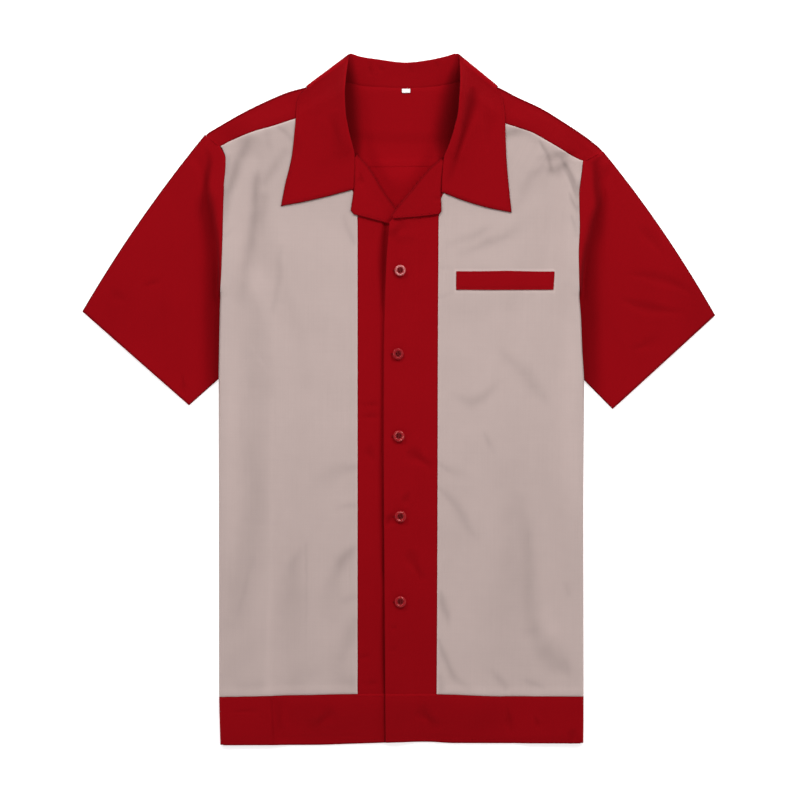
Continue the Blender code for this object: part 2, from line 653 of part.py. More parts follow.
# ---------------------------------------------------------------- yoke
def yoke():
    """Back yoke, carried over both shoulders to the front yoke seams."""
    # x at the back seam, at the shoulder fold or neck, and at the front yoke seam
    xr = [(b, c, f) for b, c, f in zip((None, -168, -142, -116, -92, -64),
                                       (None, -182, -153, -125, -100, -70.2),
                                       SEAM_X[RIGHT])]
    xm = [(-50, -50, 0), (-37, -37, 0), (-14, -14, 0), (7.7, 7.7, 0), (31, 31, 0),
          (50, 50, 0), (63, 63, 0)]
    xl = [(b, c, f) for b, c, f in zip((74, 98, 122, 147, 172, None),
                                       (81.4, 106, 132, 160, 188, None),
                                       SEAM_X[LEFT][:0:-1] + SEAM_X[LEFT][:1])]
    table = xr + xm + xl
    wraps = lambda k: k < len(xr) or k >= len(xr) + len(xm)
    top, bottom, n_back = [], [], 6
    for k, (xb, xs, xf) in enumerate(table):
        neck = not wraps(k)
        outermost = xb is None
        if outermost:
            side = RIGHT if k == 0 else LEFT
            s, tip = SIGN[side], EDGE[side][-1]
            y_top = YOKE_ARMHOLE_Y[side][-1]
            xs = edge_x[side](y_top) - s * GAP
            xf -= s * SEAM
        else:
            y_top = (back_neck_y(xs) if neck
                     else shoulder_y(xs) - CLOTH / 2 - BACK_RADIUS)
        row_t, row_b = [], []
        for n, f in enumerate((0.0, 0.22, 0.45, 0.66, 0.84, 1.0)):
            if outermost:
                y = YOKE_ARMHOLE_Y[side][n]
                x = edge_x[side](y) - s * GAP
            else:
                x, y = mix(xb, xs, f), mix(YOKE_BACK_SEAM_Y + SEAM, y_top, f)
            z = back_z(x, y)
            row_t.append((x, y, z - CLOTH / 2))
            row_b.append((x, y, z + CLOTH / 2))
        z_centre = back_z(xs, y_top) + BACK_RADIUS
        for deg in (45, 90, 135):
            a = math.radians(deg)
            for row, r in ((row_t, BACK_RADIUS + CLOTH / 2),
                           (row_b, BACK_RADIUS - CLOTH / 2)):
                row.append((xs, y_top + r * math.sin(a), z_centre - r * math.cos(a)))
        for f in (0.0, 0.5, 1.0):
            x = mix(xs, xf, f)
            y = mix(y_top, yoke_seam_y(xf) + SEAM, f)
            z = back_z(x, y) + PITCH + (0 if f == 0 else puff(x, y))
            row_t.append((x, y, z + CLOTH / 2))
            row_b.append((x, y, z - CLOTH / 2))
        top.append(row_t)
        bottom.append(row_b)
    keep = lambda i, j: j < n_back - 1 or (wraps(i) and wraps(i + 1))
    return shell("yoke", top, bottom, "red_cotton", keep)


# ---------------------------------------------------------------- collar
FALL_STATIONS = [0.18, 0.40, 0.68, 1.0]


def collar_section(kind, rx, ry, rz, nx, ny, fx, fy, sag=0.0, part=None):
    """Points from the neck seam over the roll to the outer edge."""
    out = []
    low, fold, high = CLOTH / 2, CLOTH / 2 + FRONT_RADIUS, CLOTH / 2 + 2 * FRONT_RADIUS
    seat = back_z(nx, ny)
    reach = math.hypot(fx - rx, fy - ry)
    width = math.hypot(nx - rx, ny - ry)
    lean = [(0.0, seat), (0.5, 2.7)]         # stand: share of its width, height
    near_stand, near_fall = ROLL_RADIUS, ROLL_RADIUS
    if kind == GORGE:
        roll = front_z(rx, ry) + PITCH + rz
        lean, nx, ny, width = [(1.0, roll)] * 2, rx, ry, 1e9
        below, above = roll, roll
    elif kind == UNDER:
        below, roll, above = low + 2 * ROLL_RADIUS, low + ROLL_RADIUS, low
    elif kind == TURN:
        lean[1] = (0.5, {"below": 2.3, "fold": 2.2, "above": 2.4}[part])
        below, roll, above = {"below": (2.2, 1.4, low), "fold": (2.3, 2.7, fold),
                              "above": (2.5, 3.6, high)}[part]
        near_stand, near_fall = {"below": (1.5, 1.5), "fold": (3.5, 4.5),
                                 "above": (2.5, 2.0)}[part]
    else:
        seat += 0.35 + PITCH * (0.8 if rz <= 6.0 else 1.0)
        below, roll, above = rz - 2 * ROLL_RADIUS, rz - ROLL_RADIUS, rz
        lean = [(0.0, seat), (0.5, mix(seat, max(below, seat), 0.5))]
    for t, z in lean:
        out.append((mix(nx, rx, t), mix(ny, ry, t), z))
    t = max(0.62, 1.0 - near_stand / width)
    out.append((mix(nx, rx, t), mix(ny, ry, t), below))
    out.append((rx, ry, roll))
    for f in [near_fall / reach] + FALL_STATIONS:
        x, y = mix(rx, fx, f), mix(ry, fy, f) - sag * 4 * f * (1 - f)
        if kind == UNDER:
            z = low
        elif kind == TURN:
            z = {"below": low, "fold": fold, "above": high}[part]
        else:
            base = back_z(x, y) + 2 * PITCH + puff(x, y) + 0.15
            z = base + max(0.0, above - base) * (1 - f) ** 2.4
        out.append((x, y, z))
    return out


def turn_sections(side, row):
    """Sections below, on and above the fold where the fall turns over the shoulder."""
    s = SIGN[side]
    _, rx, ry, rz, nx, ny, fx, fy = row
    reach = math.hypot(fx - rx, fy - ry)
    inner = (-s * abs(fy - ry) / reach, -abs(fx - rx) / reach)
    table = [  # part, roll dx, dy, seam dx, inset of the edge
        ("below", -1.7, 0.2, -4.0, FRONT_RADIUS),
        ("fold", 0.0, 0.0, 0.0, 0.0),
        ("above", 0.9, -2.2, 3.4, FRONT_RADIUS)]
    out = []
    for part, dx, dy, seam_dx, inset in table:
        sx = nx + s * seam_dx
        out.append((TURN, collar_section(
            TURN, rx + s * dx, ry + dy, rz, sx, back_neck_y(sx) + GAP + 0.2,
            fx + inner[0] * inset, fy + inner[1] * inset, part=part)))
    return out


def collar():
    sections = []
    for side in (RIGHT, LEFT):
        run = []
        for row in COLLAR[side]:
            if row[0] == TURN:
                run += turn_sections(side, row)
            else:
                sag = TIP_SAG[side] if row is COLLAR[side][-1] else 0.0
                run.append((row[0], collar_section(*row, sag=sag)))
        if side == RIGHT:
            sections = run[::-1] + [(UNDER, collar_section(*COLLAR_CENTRE))]
        else:
            sections += run
    kinds = [k for k, _ in sections]

    def keep(i, j):
        return j >= 3 or (kinds[i] != GORGE and kinds[i + 1] != GORGE)

    return curved_wall("collar", [s for _, s in sections], "red_cotton", keep)


# ---------------------------------------------------------------- sleeves
def sleeve(side):
    spec, s = SLEEVE[side], SIGN[side]
    edge = [spec["tip"]] + [(edge_x[side](y), y) for y in spec["rows"]]
    run = [0.0]
    for a, b in zip(edge, edge[1:]):
        run.append(run[-1] + math.dist(a, b))
    q = [v / run[-1] for v in run]
    ct, cb = np.array(spec["cuff_top"]), np.array(spec["cuff_bottom"])
    rows_top, hidden = [], []
    top_line = ct - np.array(spec["tip"])
    normal_t = np.array([-top_line[1], top_line[0]]) / np.linalg.norm(top_line)
    if normal_t[1] < 0:
        normal_t = -normal_t                 # points outwards, across the upper edge
    for k, (e, t) in enumerate(zip(edge, q)):
        c = mix(ct, cb, t)
        row = []
        folded = e[1] <= TUCK_START and k > 0
        rise = 0.0 if folded else min(tuck_lift(e[1]), 1.5)
        w = strip_width(e[1]) - GAP if folded else 0.0
        hx = bend_x(side, e[1]) - s * w
        row.append((hx if folded else e[0], e[1], CLOTH / 2 + PITCH))
        start = np.array([e[0] + s * GAP, e[1]])
        for f in SLEEVE_STATIONS:
            p = mix(start, c, f)
            bow = spec["bow"] * 4 * f * (1 - f) * (1 - t) ** 3
            p = p + normal_t * bow
            if k == 0:
                p = p - normal_t * (BACK_RADIUS + CLOTH / 2)
            if k == len(edge) - 1:
                p = p + np.array([0.0, BACK_RADIUS + CLOTH / 2])
            lift = SLEEVE_PUFF * smooth(f / 0.34) * math.sin(math.pi * t) ** 0.8
            z = CLOTH / 2 + PITCH + lift + rise * smooth(1 - f / 0.16)
            row.append((p[0], p[1], z))
        rows_top.append(row)
        hidden.append(folded)
    last = rows_top[-1]
    rows_top[-1] = [(last[0][0], last[1][1], last[0][2])] + last[1:]

    def turned(row, direction):
        return [(x + direction[0] * BACK_RADIUS, y + direction[1] * BACK_RADIUS,
                 CLOTH / 2 + BACK_RADIUS) for x, y, z in row]
    under = []
    for k, row in enumerate(rows_top):
        rise = 0.0 if hidden[k] or k == 0 else min(tuck_lift(edge[k][1]), 1.5)
        under.append([(x, y, CLOTH / 2 + rise * smooth(1 - f / 0.16))
                      for (x, y, z), f in zip(row, [0.0] + SLEEVE_STATIONS)])
    ring = (rows_top + [turned(rows_top[-1], (0.0, -1.0))] + under[::-1]
            + [turned(rows_top[0], normal_t)])
    flags = hidden + [True] + hidden[::-1] + [False]

    def keep(i, j):
        a, b = flags[i], flags[(i + 1) % len(flags)]
        return j >= 1 or (a and b)

    return curved_wall(f"sleeve_{side}", ring, "red_cotton", keep, ring=True)


# ---------------------------------------------------------------- small pieces
def welt():
    rows = []
    for t in (0.0, 0.5, 1.0):
        y = mix(WELT["top"], WELT["bottom"], t)
        rows.append([(x, y, front_z(x, y) + PITCH + 0.1)
                     for x in np.linspace(WELT["x0"], WELT["x1"], 6)])
    return flat_wall("chest_welt", rows, "red_cotton")


def size_label():
    rows = [[(x, y, back_z(x, y) + PITCH + 0.05) for x in (LABEL["x0"], LABEL["x1"])]
            for y in (LABEL["top"], LABEL["bottom"])]
    return flat_wall("size_label", rows, "white_tape")


def button_mesh():
    """Turned button with a raised rim, a dished middle and four holes."""
    r = BUTTON_DIAMETER / 2
    h = BUTTON_HEIGHT
    profile = [(0.0, 0.0), (r - 1.2, 0.0), (r, 1.1), (r - 0.8, h), (r - 2.1, h - 0.9),
               (0.0, h - 0.9)]
    bm = bmesh.new()
    verts = [bm.verts.new((x * MM, 0, z * MM)) for x, z in profile]
    edges = [bm.edges.new(pair) for pair in zip(verts, verts[1:])]
    bmesh.ops.spin(bm, geom=verts + edges, cent=(0, 0, 0), axis=(0, 0, 1),
                   angle=2 * math.pi, steps=SEGMENTS, use_merge=True)
    bmesh.ops.remove_doubles(bm, verts=bm.verts[:], dist=1e-6)
    blank = finish("button_blank", bm, "red_button")
    cutter_bm = bmesh.new()
    for sx in (-1, 1):
        for sy in (-1, 1):
            made = bmesh.ops.create_cone(
                cutter_bm, cap_ends=True, segments=6, radius1=BUTTON_HOLE / 2 * MM,
                radius2=BUTTON_HOLE / 2 * MM, depth=3 * h * MM)
            bmesh.ops.translate(cutter_bm, verts=made["verts"],
                                vec=(sx * BUTTON_HOLE_PITCH / 2 * MM,
                                     sy * BUTTON_HOLE_PITCH / 2 * MM, 0))
    cutter = finish("button_cutter", cutter_bm, "red_button")
    cut = blank.modifiers.new("holes", "BOOLEAN")
    cut.operation, cut.object, cut.solver = "DIFFERENCE", cutter, "EXACT"
    bpy.context.view_layer.update()
    graph = bpy.context.evaluated_depsgraph_get()
    mesh = bpy.data.meshes.new_from_object(blank.evaluated_get(graph))
    mesh.name = "button"
    for obj in (blank, cutter):
        bpy.data.objects.remove(obj, do_unlink=True)
    return mesh


def buttons():
    mesh = button_mesh()
    for k, (x, y) in enumerate(BUTTONS, 1):
        reach = BUTTON_DIAMETER / 2
        seat = max(over_z(x + dx, y + dy) for dx in (-reach, 0, reach)
                   for dy in (-reach, 0, reach)) + CLOTH / 2
        obj = bpy.data.objects.new(f"button_{k}", mesh)
        obj.location = (x * MM, y * MM, (seat + GAP + 0.05) * MM)
        bpy.context.scene.collection.objects.link(obj)


back_body()
yoke()
for which in (RIGHT, LEFT):
    front_panel(which)
    placket(which)
    lapel(which)
    sleeve(which)
hem_bands()
collar()
welt()
size_label()
buttons()
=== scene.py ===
# Looks of a short-sleeved camp-collar bowling shirt laid flat, face up, with both
# sides turned under.  Tables and shapes are in millimetres, meshes in metres.
# +X is the wearer's left, +Y points to the collar, +Z up.

import math

import bpy
import numpy as np
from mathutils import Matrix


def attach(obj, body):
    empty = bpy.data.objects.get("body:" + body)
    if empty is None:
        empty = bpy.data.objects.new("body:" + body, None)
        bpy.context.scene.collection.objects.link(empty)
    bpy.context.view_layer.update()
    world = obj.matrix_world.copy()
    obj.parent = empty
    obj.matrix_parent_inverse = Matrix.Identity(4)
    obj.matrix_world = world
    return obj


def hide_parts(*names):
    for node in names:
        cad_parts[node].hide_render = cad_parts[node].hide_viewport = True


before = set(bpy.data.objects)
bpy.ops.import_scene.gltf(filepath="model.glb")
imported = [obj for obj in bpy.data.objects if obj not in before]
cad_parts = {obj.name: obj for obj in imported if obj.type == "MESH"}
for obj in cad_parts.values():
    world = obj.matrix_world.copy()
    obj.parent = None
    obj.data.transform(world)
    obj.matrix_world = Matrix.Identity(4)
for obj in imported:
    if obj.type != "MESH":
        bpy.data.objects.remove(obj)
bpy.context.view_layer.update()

MM = 0.001
RIGHT, LEFT = "right", "left"
SIGN = {RIGHT: -1.0, LEFT: 1.0}

# ---------------------------------------------------------------- dimensions
CLOTH = 0.8                  # wall of one layer of cloth
BASE = CLOTH / 2
PITCH = 1.2                  # from one layer to the next
SEAM = 0.1
FRONT_BEND = 3.0             # front layer's bend round the turned-under side
BACK_BEND = 0.7
PUFF = 5.4                   # how far the front stands off the back
TUCK_RAMP = 14.0
TUCK_START = 112.0
FALL_LIFT = 1.6              # rise of the yoke over the collar's fall
COLLAR_WALL = 1.3
LAPEL_WALL = 1.1
LAPEL_REST = 2.0
LAPEL_LIFT = 1.2
SLEEVE_PUFF = 4.2
UNDER_EDGE_X = 12.0
YOKE_BACK_SEAM_Y = 251.0
BUTTON_RADIUS = 6.1
BUTTON_HEIGHT = 2.6

EDGE = {
    RIGHT: [  # y, x
        (-374, -192.6), (-346, -193.4), (-318, -193.9), (-120, -194.0),
        (15, -194.2), (49, -193.8), (101, -192.7), (144, -190.4),
        (179, -189.4), (231, -188.3), (251, -186.7), (257, -186.6),
        (273, -193.1), (285.9, -209.3)],
    LEFT: [
        (-374, 199.2), (-346, 199.4), (-318, 199.4), (-120, 199.0),
        (15, 199.8), (54, 197.7), (88, 196.4), (118, 194.2),
        (157, 193.4), (188, 194.6), (218, 194.1), (248, 197.4),
        (256.8, 198.7), (268.1, 220.5)],
}
TUCK = [  # y, strip width, layers beneath
    (-380, 50, 2), (-180, 51, 2), (-6, 52, 2), (20, 51, 4), (45, 36, 4),
    (70, 19, 4), (95, 7, 4), (112, 3, 4), (150, 3, 0), (380, 3, 0)]
SHOULDER = [  # x, y
    (-209.3, 285.9), (-197.4, 293.0), (-171.5, 308.0), (-145.6, 321.0),
    (-119.7, 331.9), (-99.5, 337.4), (-70.0, 346.2), (0.0, 346.4),
    (81.2, 346.2), (106.0, 337.6), (126.6, 327.2), (152.5, 315.2),
    (178.4, 299.4), (204.3, 281.9), (220.5, 268.6)]
YOKE_SEAM = [  # x, y
    (-193.1, 272.4), (-184.5, 277.6), (-158.5, 288.4), (-132.6, 295.9),
    (-113.2, 302.3), (-64.5, 314.8), (72.0, 311.4), (115.8, 297.2),
    (139.5, 289.8), (165.5, 275.7), (191.4, 260.6), (198.9, 256.6)]
BACK_NECK = [  # x, y
    (-70.0, 346.2), (-60.0, 343.4), (-49.0, 341.0), (-37.2, 338.2),
    (-16.0, 336.9), (7.7, 336.2), (32.0, 337.2), (50.0, 339.8),
    (60.0, 342.0), (70.0, 344.2), (81.2, 346.2)]
BAND_SEAM = [  # x, y
    (-200, -320.3), (-171, -320.0), (-44, -317.0), (41, -317.2),
    (114, -319.6), (205, -319.8)]
HEM = [  # x, y
    (-200, -372.0), (-94, -371.8), (-40, -370.2), (30, -368.4),
    (60, -369.8), (205, -370.0)]
FRONT_ROWS = {
    RIGHT: [  # outer y, inner y, inner x
        (272.4, 314.8, -67.0), (262, 297, -63.0), (251, 277, -59.0),
        (232, 256, -54.0), (214, 229, -51.5), (205, 215, -45.2),
        (176, 178, -44.7)],
    LEFT: [
        (256.6, 311.4, 74.0), (250, 296, 69.5), (243, 276, 62.0),
        (230, 252, 52.5), (214, 226, 50.0), (205, 213, 44.2),
        (176, 178, 43.0)],
}
PLACKET_SEAM = {RIGHT: [(-380, -44.7), (300, -44.7)],          # y, x
                LEFT: [(-380, 40.6), (-200, 41.7), (100, 42.6), (260, 44.0)]}
BODY_ROWS = [150, 112, 70, 20, -60, -120, -185, -250, -318]
OVERLAP_EDGE = [(-374, -13.3), (-216, -14.4), (-54, -15.4), (60, -15.2),
                (108, -14.2), (150, -12.6), (176, -10.6), (192, -9.2)]   # y, x
LAP = [(-374, 2.6), (-200, 3.4), (-40, 3.2), (60, 3.4), (110, 3.8), (150, 5.0),
       (185, 6.6), (200, 6.8)]              # y, rise over the right front
FOLD_LINE = {RIGHT: [(-47.4, 264.5), (-32.9, 249.4), (-19.2, 226.0),
                     (-4.1, 205.1), (12.0, 180.6)],            # x, y
             LEFT: [(-12.9, 192.0), (-9.5, 195.6), (15.2, 226.0),
                    (34.6, 249.4), (48.3, 260.4)]}
LAPEL = {
    RIGHT: [  # fold x, fold y, outer x, outer y
        (-45.9, 263.0, -47.5, 260.5), (-41.0, 258.0, -47.7, 244.0),
        (-34.0, 250.8, -48.2, 227.2), (-26.5, 238.8, -51.7, 204.4),
        (-19.2, 226.0, -48.6, 200.0), (-12.0, 215.6, -30.0, 195.0),
        (-4.1, 205.1, -17.0, 191.6), (2.0, 195.9, -6.0, 188.2),
        (7.2, 188.0, 4.6, 184.7)],
    LEFT: [
        (46.4, 258.8, 47.7, 256.4), (41.6, 255.0, 46.0, 240.0),
        (34.6, 249.0, 45.1, 224.9), (25.0, 238.0, 45.9, 203.5),
        (15.2, 225.6, 43.4, 200.1), (8.2, 217.2, 30.0, 198.2),
        (1.2, 208.7, 15.0, 196.6), (-3.8, 202.5, 4.0, 195.6),
        (-7.4, 198.2, -5.0, 194.6)],
}
OVER, UNDER, TURN, GORGE = "over", "under", "turn", "gorge"
COLLAR = {
    RIGHT: [  # kind, roll x, y, z, seam x, y, edge x, y
        (UNDER, -22.0, 367.0, 3.0, -16.0, 337.3, -20.0, 303.3),
        (UNDER, -42.0, 370.2, 3.0, -37.5, 338.7, -48.0, 306.5),
        (UNDER, -49.2, 372.6, 3.0, -48.9, 341.5, -76.0, 318.0),
        (TURN, -53.2, 373.0, 2.6, -59.5, 344.3, -100.0, 337.9),
        (OVER, -55.0, 364.5, 7.0, -69.6, 347.4, -108.3, 328.0),
        (OVER, -57.0, 348.0, 12.5, -67.9, 337.0, -110.8, 316.0),
        (OVER, -58.2, 330.0, 16.8, -66.4, 327.0, -111.2, 303.2),
        (OVER, -57.4, 311.5, 17.5, -62.6, 309.5, -112.6, 287.0),
        (OVER, -54.3, 290.5, 15.5, -56.9, 289.5, -115.2, 264.0),
        (OVER, -49.9, 273.0, 12.6, -52.4, 273.5, -119.0, 246.0),
        (GORGE, -47.9, 263.6, 1.8, 0, 0, -121.6, 236.5),
        (GORGE, -48.0, 251.0, 0.7, 0, 0, -123.7, 226.5),
        (GORGE, -48.4, 238.5, 0.4, 0, 0, -125.3, 217.5),
        (GORGE, -48.7, 227.2, 0.2, 0, 0, -127.1, 208.9)],
    LEFT: [
        (UNDER, 34.0, 366.6, 3.0, 32.0, 337.6, 36.0, 303.3),
        (UNDER, 54.0, 371.2, 3.0, 50.0, 340.2, 64.0, 307.0),
        (UNDER, 60.4, 373.2, 3.0, 60.0, 342.5, 90.0, 319.0),
        (TURN, 64.2, 373.0, 2.6, 70.0, 344.9, 107.0, 337.9),
        (OVER, 66.0, 364.0, 7.0, 80.8, 347.4, 111.3, 328.0),
        (OVER, 66.3, 348.0, 13.0, 79.0, 337.5, 113.6, 316.0),
        (OVER, 65.5, 331.0, 17.5, 75.6, 327.0, 114.7, 303.0),
        (OVER, 63.9, 311.5, 18.5, 70.5, 309.0, 115.1, 287.0),
        (OVER, 59.3, 289.5, 16.5, 62.3, 287.5, 116.0, 262.0),
        (OVER, 53.0, 271.0, 13.0, 55.7, 271.5, 117.7, 240.0),
        (GORGE, 48.8, 260.2, 1.8, 0, 0, 118.9, 228.0),
        (GORGE, 47.5, 248.0, 0.7, 0, 0, 119.8, 218.5),
        (GORGE, 46.4, 235.8, 0.4, 0, 0, 120.8, 209.6),
        (GORGE, 45.9, 224.4, 0.2, 0, 0, 121.7, 202.0)],
}
COLLAR_CENTRE = (UNDER, 7.8, 363.6, 3.0, 7.7, 336.6, 7.8, 303.0)
TIP_SAG = {RIGHT: 1.2, LEFT: 2.6}
SLEEVE = {
    RIGHT: dict(tip=(-209.3, 285.9), cuff_top=(-341.2, 96.0),
                cuff_bottom=(-226.0, -5.4), bow=4.6, inner=22.6),
    LEFT: dict(tip=(220.5, 268.1), cuff_top=(341.2, 91.8),
               cuff_bottom=(230.4, -9.4), bow=4.6, inner=21.4),
}
WELT = dict(x0=61.8, x1=167.1, top=138.5, bottom=118.5)
LABEL = dict(x0=3.6, x1=12.2, top=335.2, bottom=331.1)
BUTTONS = [(1.5, 139.2), (-1.0, 49.3), (0.2, -39.2), (1.8, -125.6), (1.8, -217.4)]

# Creases placed one by one: start, middle and end, half width, height (a trough is
# negative).
CREASES = {  # x0, y0, xm, ym, x1, y1, width, height
    "placket_left": [
        (-10, 172, -2, 181, 8, 191, 6, -0.9),
        (8, -56, 21, -63, 37, -74, 5, -0.9),
        (12, -100, 8, -107, 5, -115, 3.0, -0.6),
        (-14, -137, -10, -130, -5, -123, 3.4, -0.9),
        (11, -162, 17, -178, 26, -196, 5, -0.7),
        (-12, -245, -7, -245, -2, -247, 1.6, -0.5),
        (-12, -269, -7, -269, -2, -269, 1.6, -0.4)],
    "placket_right": [
        (-13, 204, -16, 150, -17.5, 92, 3.6, -1.9),
        (-17, 122, -17.8, -40, -16.6, -200, 2.3, -0.9),
        (-16.5, -150, -16, -250, -15, -330, 2.3, -0.9),
        (-42, -6, -31, -5, -20, -5, 1.6, -0.5),
        (-40, -19, -31, -18, -20, -19, 2.2, -0.5),
        (-37, -54, -30, -60, -29, -67, 5, -0.5),
        (-43, -277, -38, -277, -30, -276, 1.8, -0.5),
        (-41, -305, -31, -306, -22, -304, 2, -0.5)],
    "bands": [
        (-138, -316, -136.5, -346, -136, -376, 1.6, -0.9),
        (-132, -321, -130, -346, -128, -370, 6, -0.6),
        (-96, -359, -83, -346, -69, -335, 6, -0.6),
        (20, -333, 32, -344, 41, -357, 6, -0.7),
        (117, -332, 119, -346, 122, -362, 3, -0.6),
        (147, -342, 149, -348, 152, -355, 2.5, -0.6),
        (190, -355, 187, -363, 185, -370, 4, -0.6),
        (-180, -337, -166, -336, -150, -337, 2, -0.3)],
    "collar": [
        (79, 337, 73, 300, 52, 231, 4.6, -2.0),
        (-71, 309, -66, 281, -57, 250, 7.0, -0.6),
        (-110, 291, -108, 275, -106, 261, 3, -0.3),
        (94, 317, 96, 291, 94, 270, 4, -0.3)],
    "sleeve": [
        (-277, 123, -267, 125, -256, 128, 2.4, -0.5),
        (-233, 27, -233, 15, -231, 3, 2.5, -0.5),
        (-312, 119, -303, 111, -292, 108, 4, -0.4),
        (244, 135, 287, 129, 322, 111, 3.8, -0.6),
        (239, 108, 273, 98, 309, 95, 4.0, -0.65),
        (257, 189, 273, 173, 290, 156, 4, -0.6),
        (282, 70, 266, 59, 250, 54, 5, -0.4)],
    "stand": [
        (-31, 365, -31, 357, -31, 350, 2, -0.5),
        (-22, 360, -19, 357, -16, 355, 1.6, -0.6),
        (12, 363, 13, 357, 14, 351, 2.2, -0.4),
        (34, 367, 40, 363, 44, 356, 2, -0.4)],
    "lapel": [
        (-42, 245, -41, 237, -42, 230, 2.6, -0.6),
        (55, 221, 44, 217, 36, 216, 2, -0.25)],
    "underside": [  # lifted off the surface, seen from below
        (-95, 190, -60, 172, -8, 180, 5, 0.55), (60, 214, 84, 170, 92, 96, 6, 0.6),
        (-120, 60, -112, -10, -118, -92, 7, 0.65), (20, 36, 58, 12, 118, 20, 5, 0.5),
        (-40, -90, -22, -150, -34, -236, 6, 0.6), (104, -110, 88, -190, 96, -268, 7, 0.6),
        (-128, -160, -90, -190, -52, -184, 4.5, 0.5), (30, -240, 64, -262, 118, -258, 5, 0.5),
        (-110, 236, -118, 210, -112, 172, 4.5, 0.5), (10, 130, 16, 92, 4, 44, 5, 0.45),
        (-70, -262, -96, -284, -128, -300, 4, 0.4), (134, 150, 140, 110, 132, 60, 5, 0.5)],
}
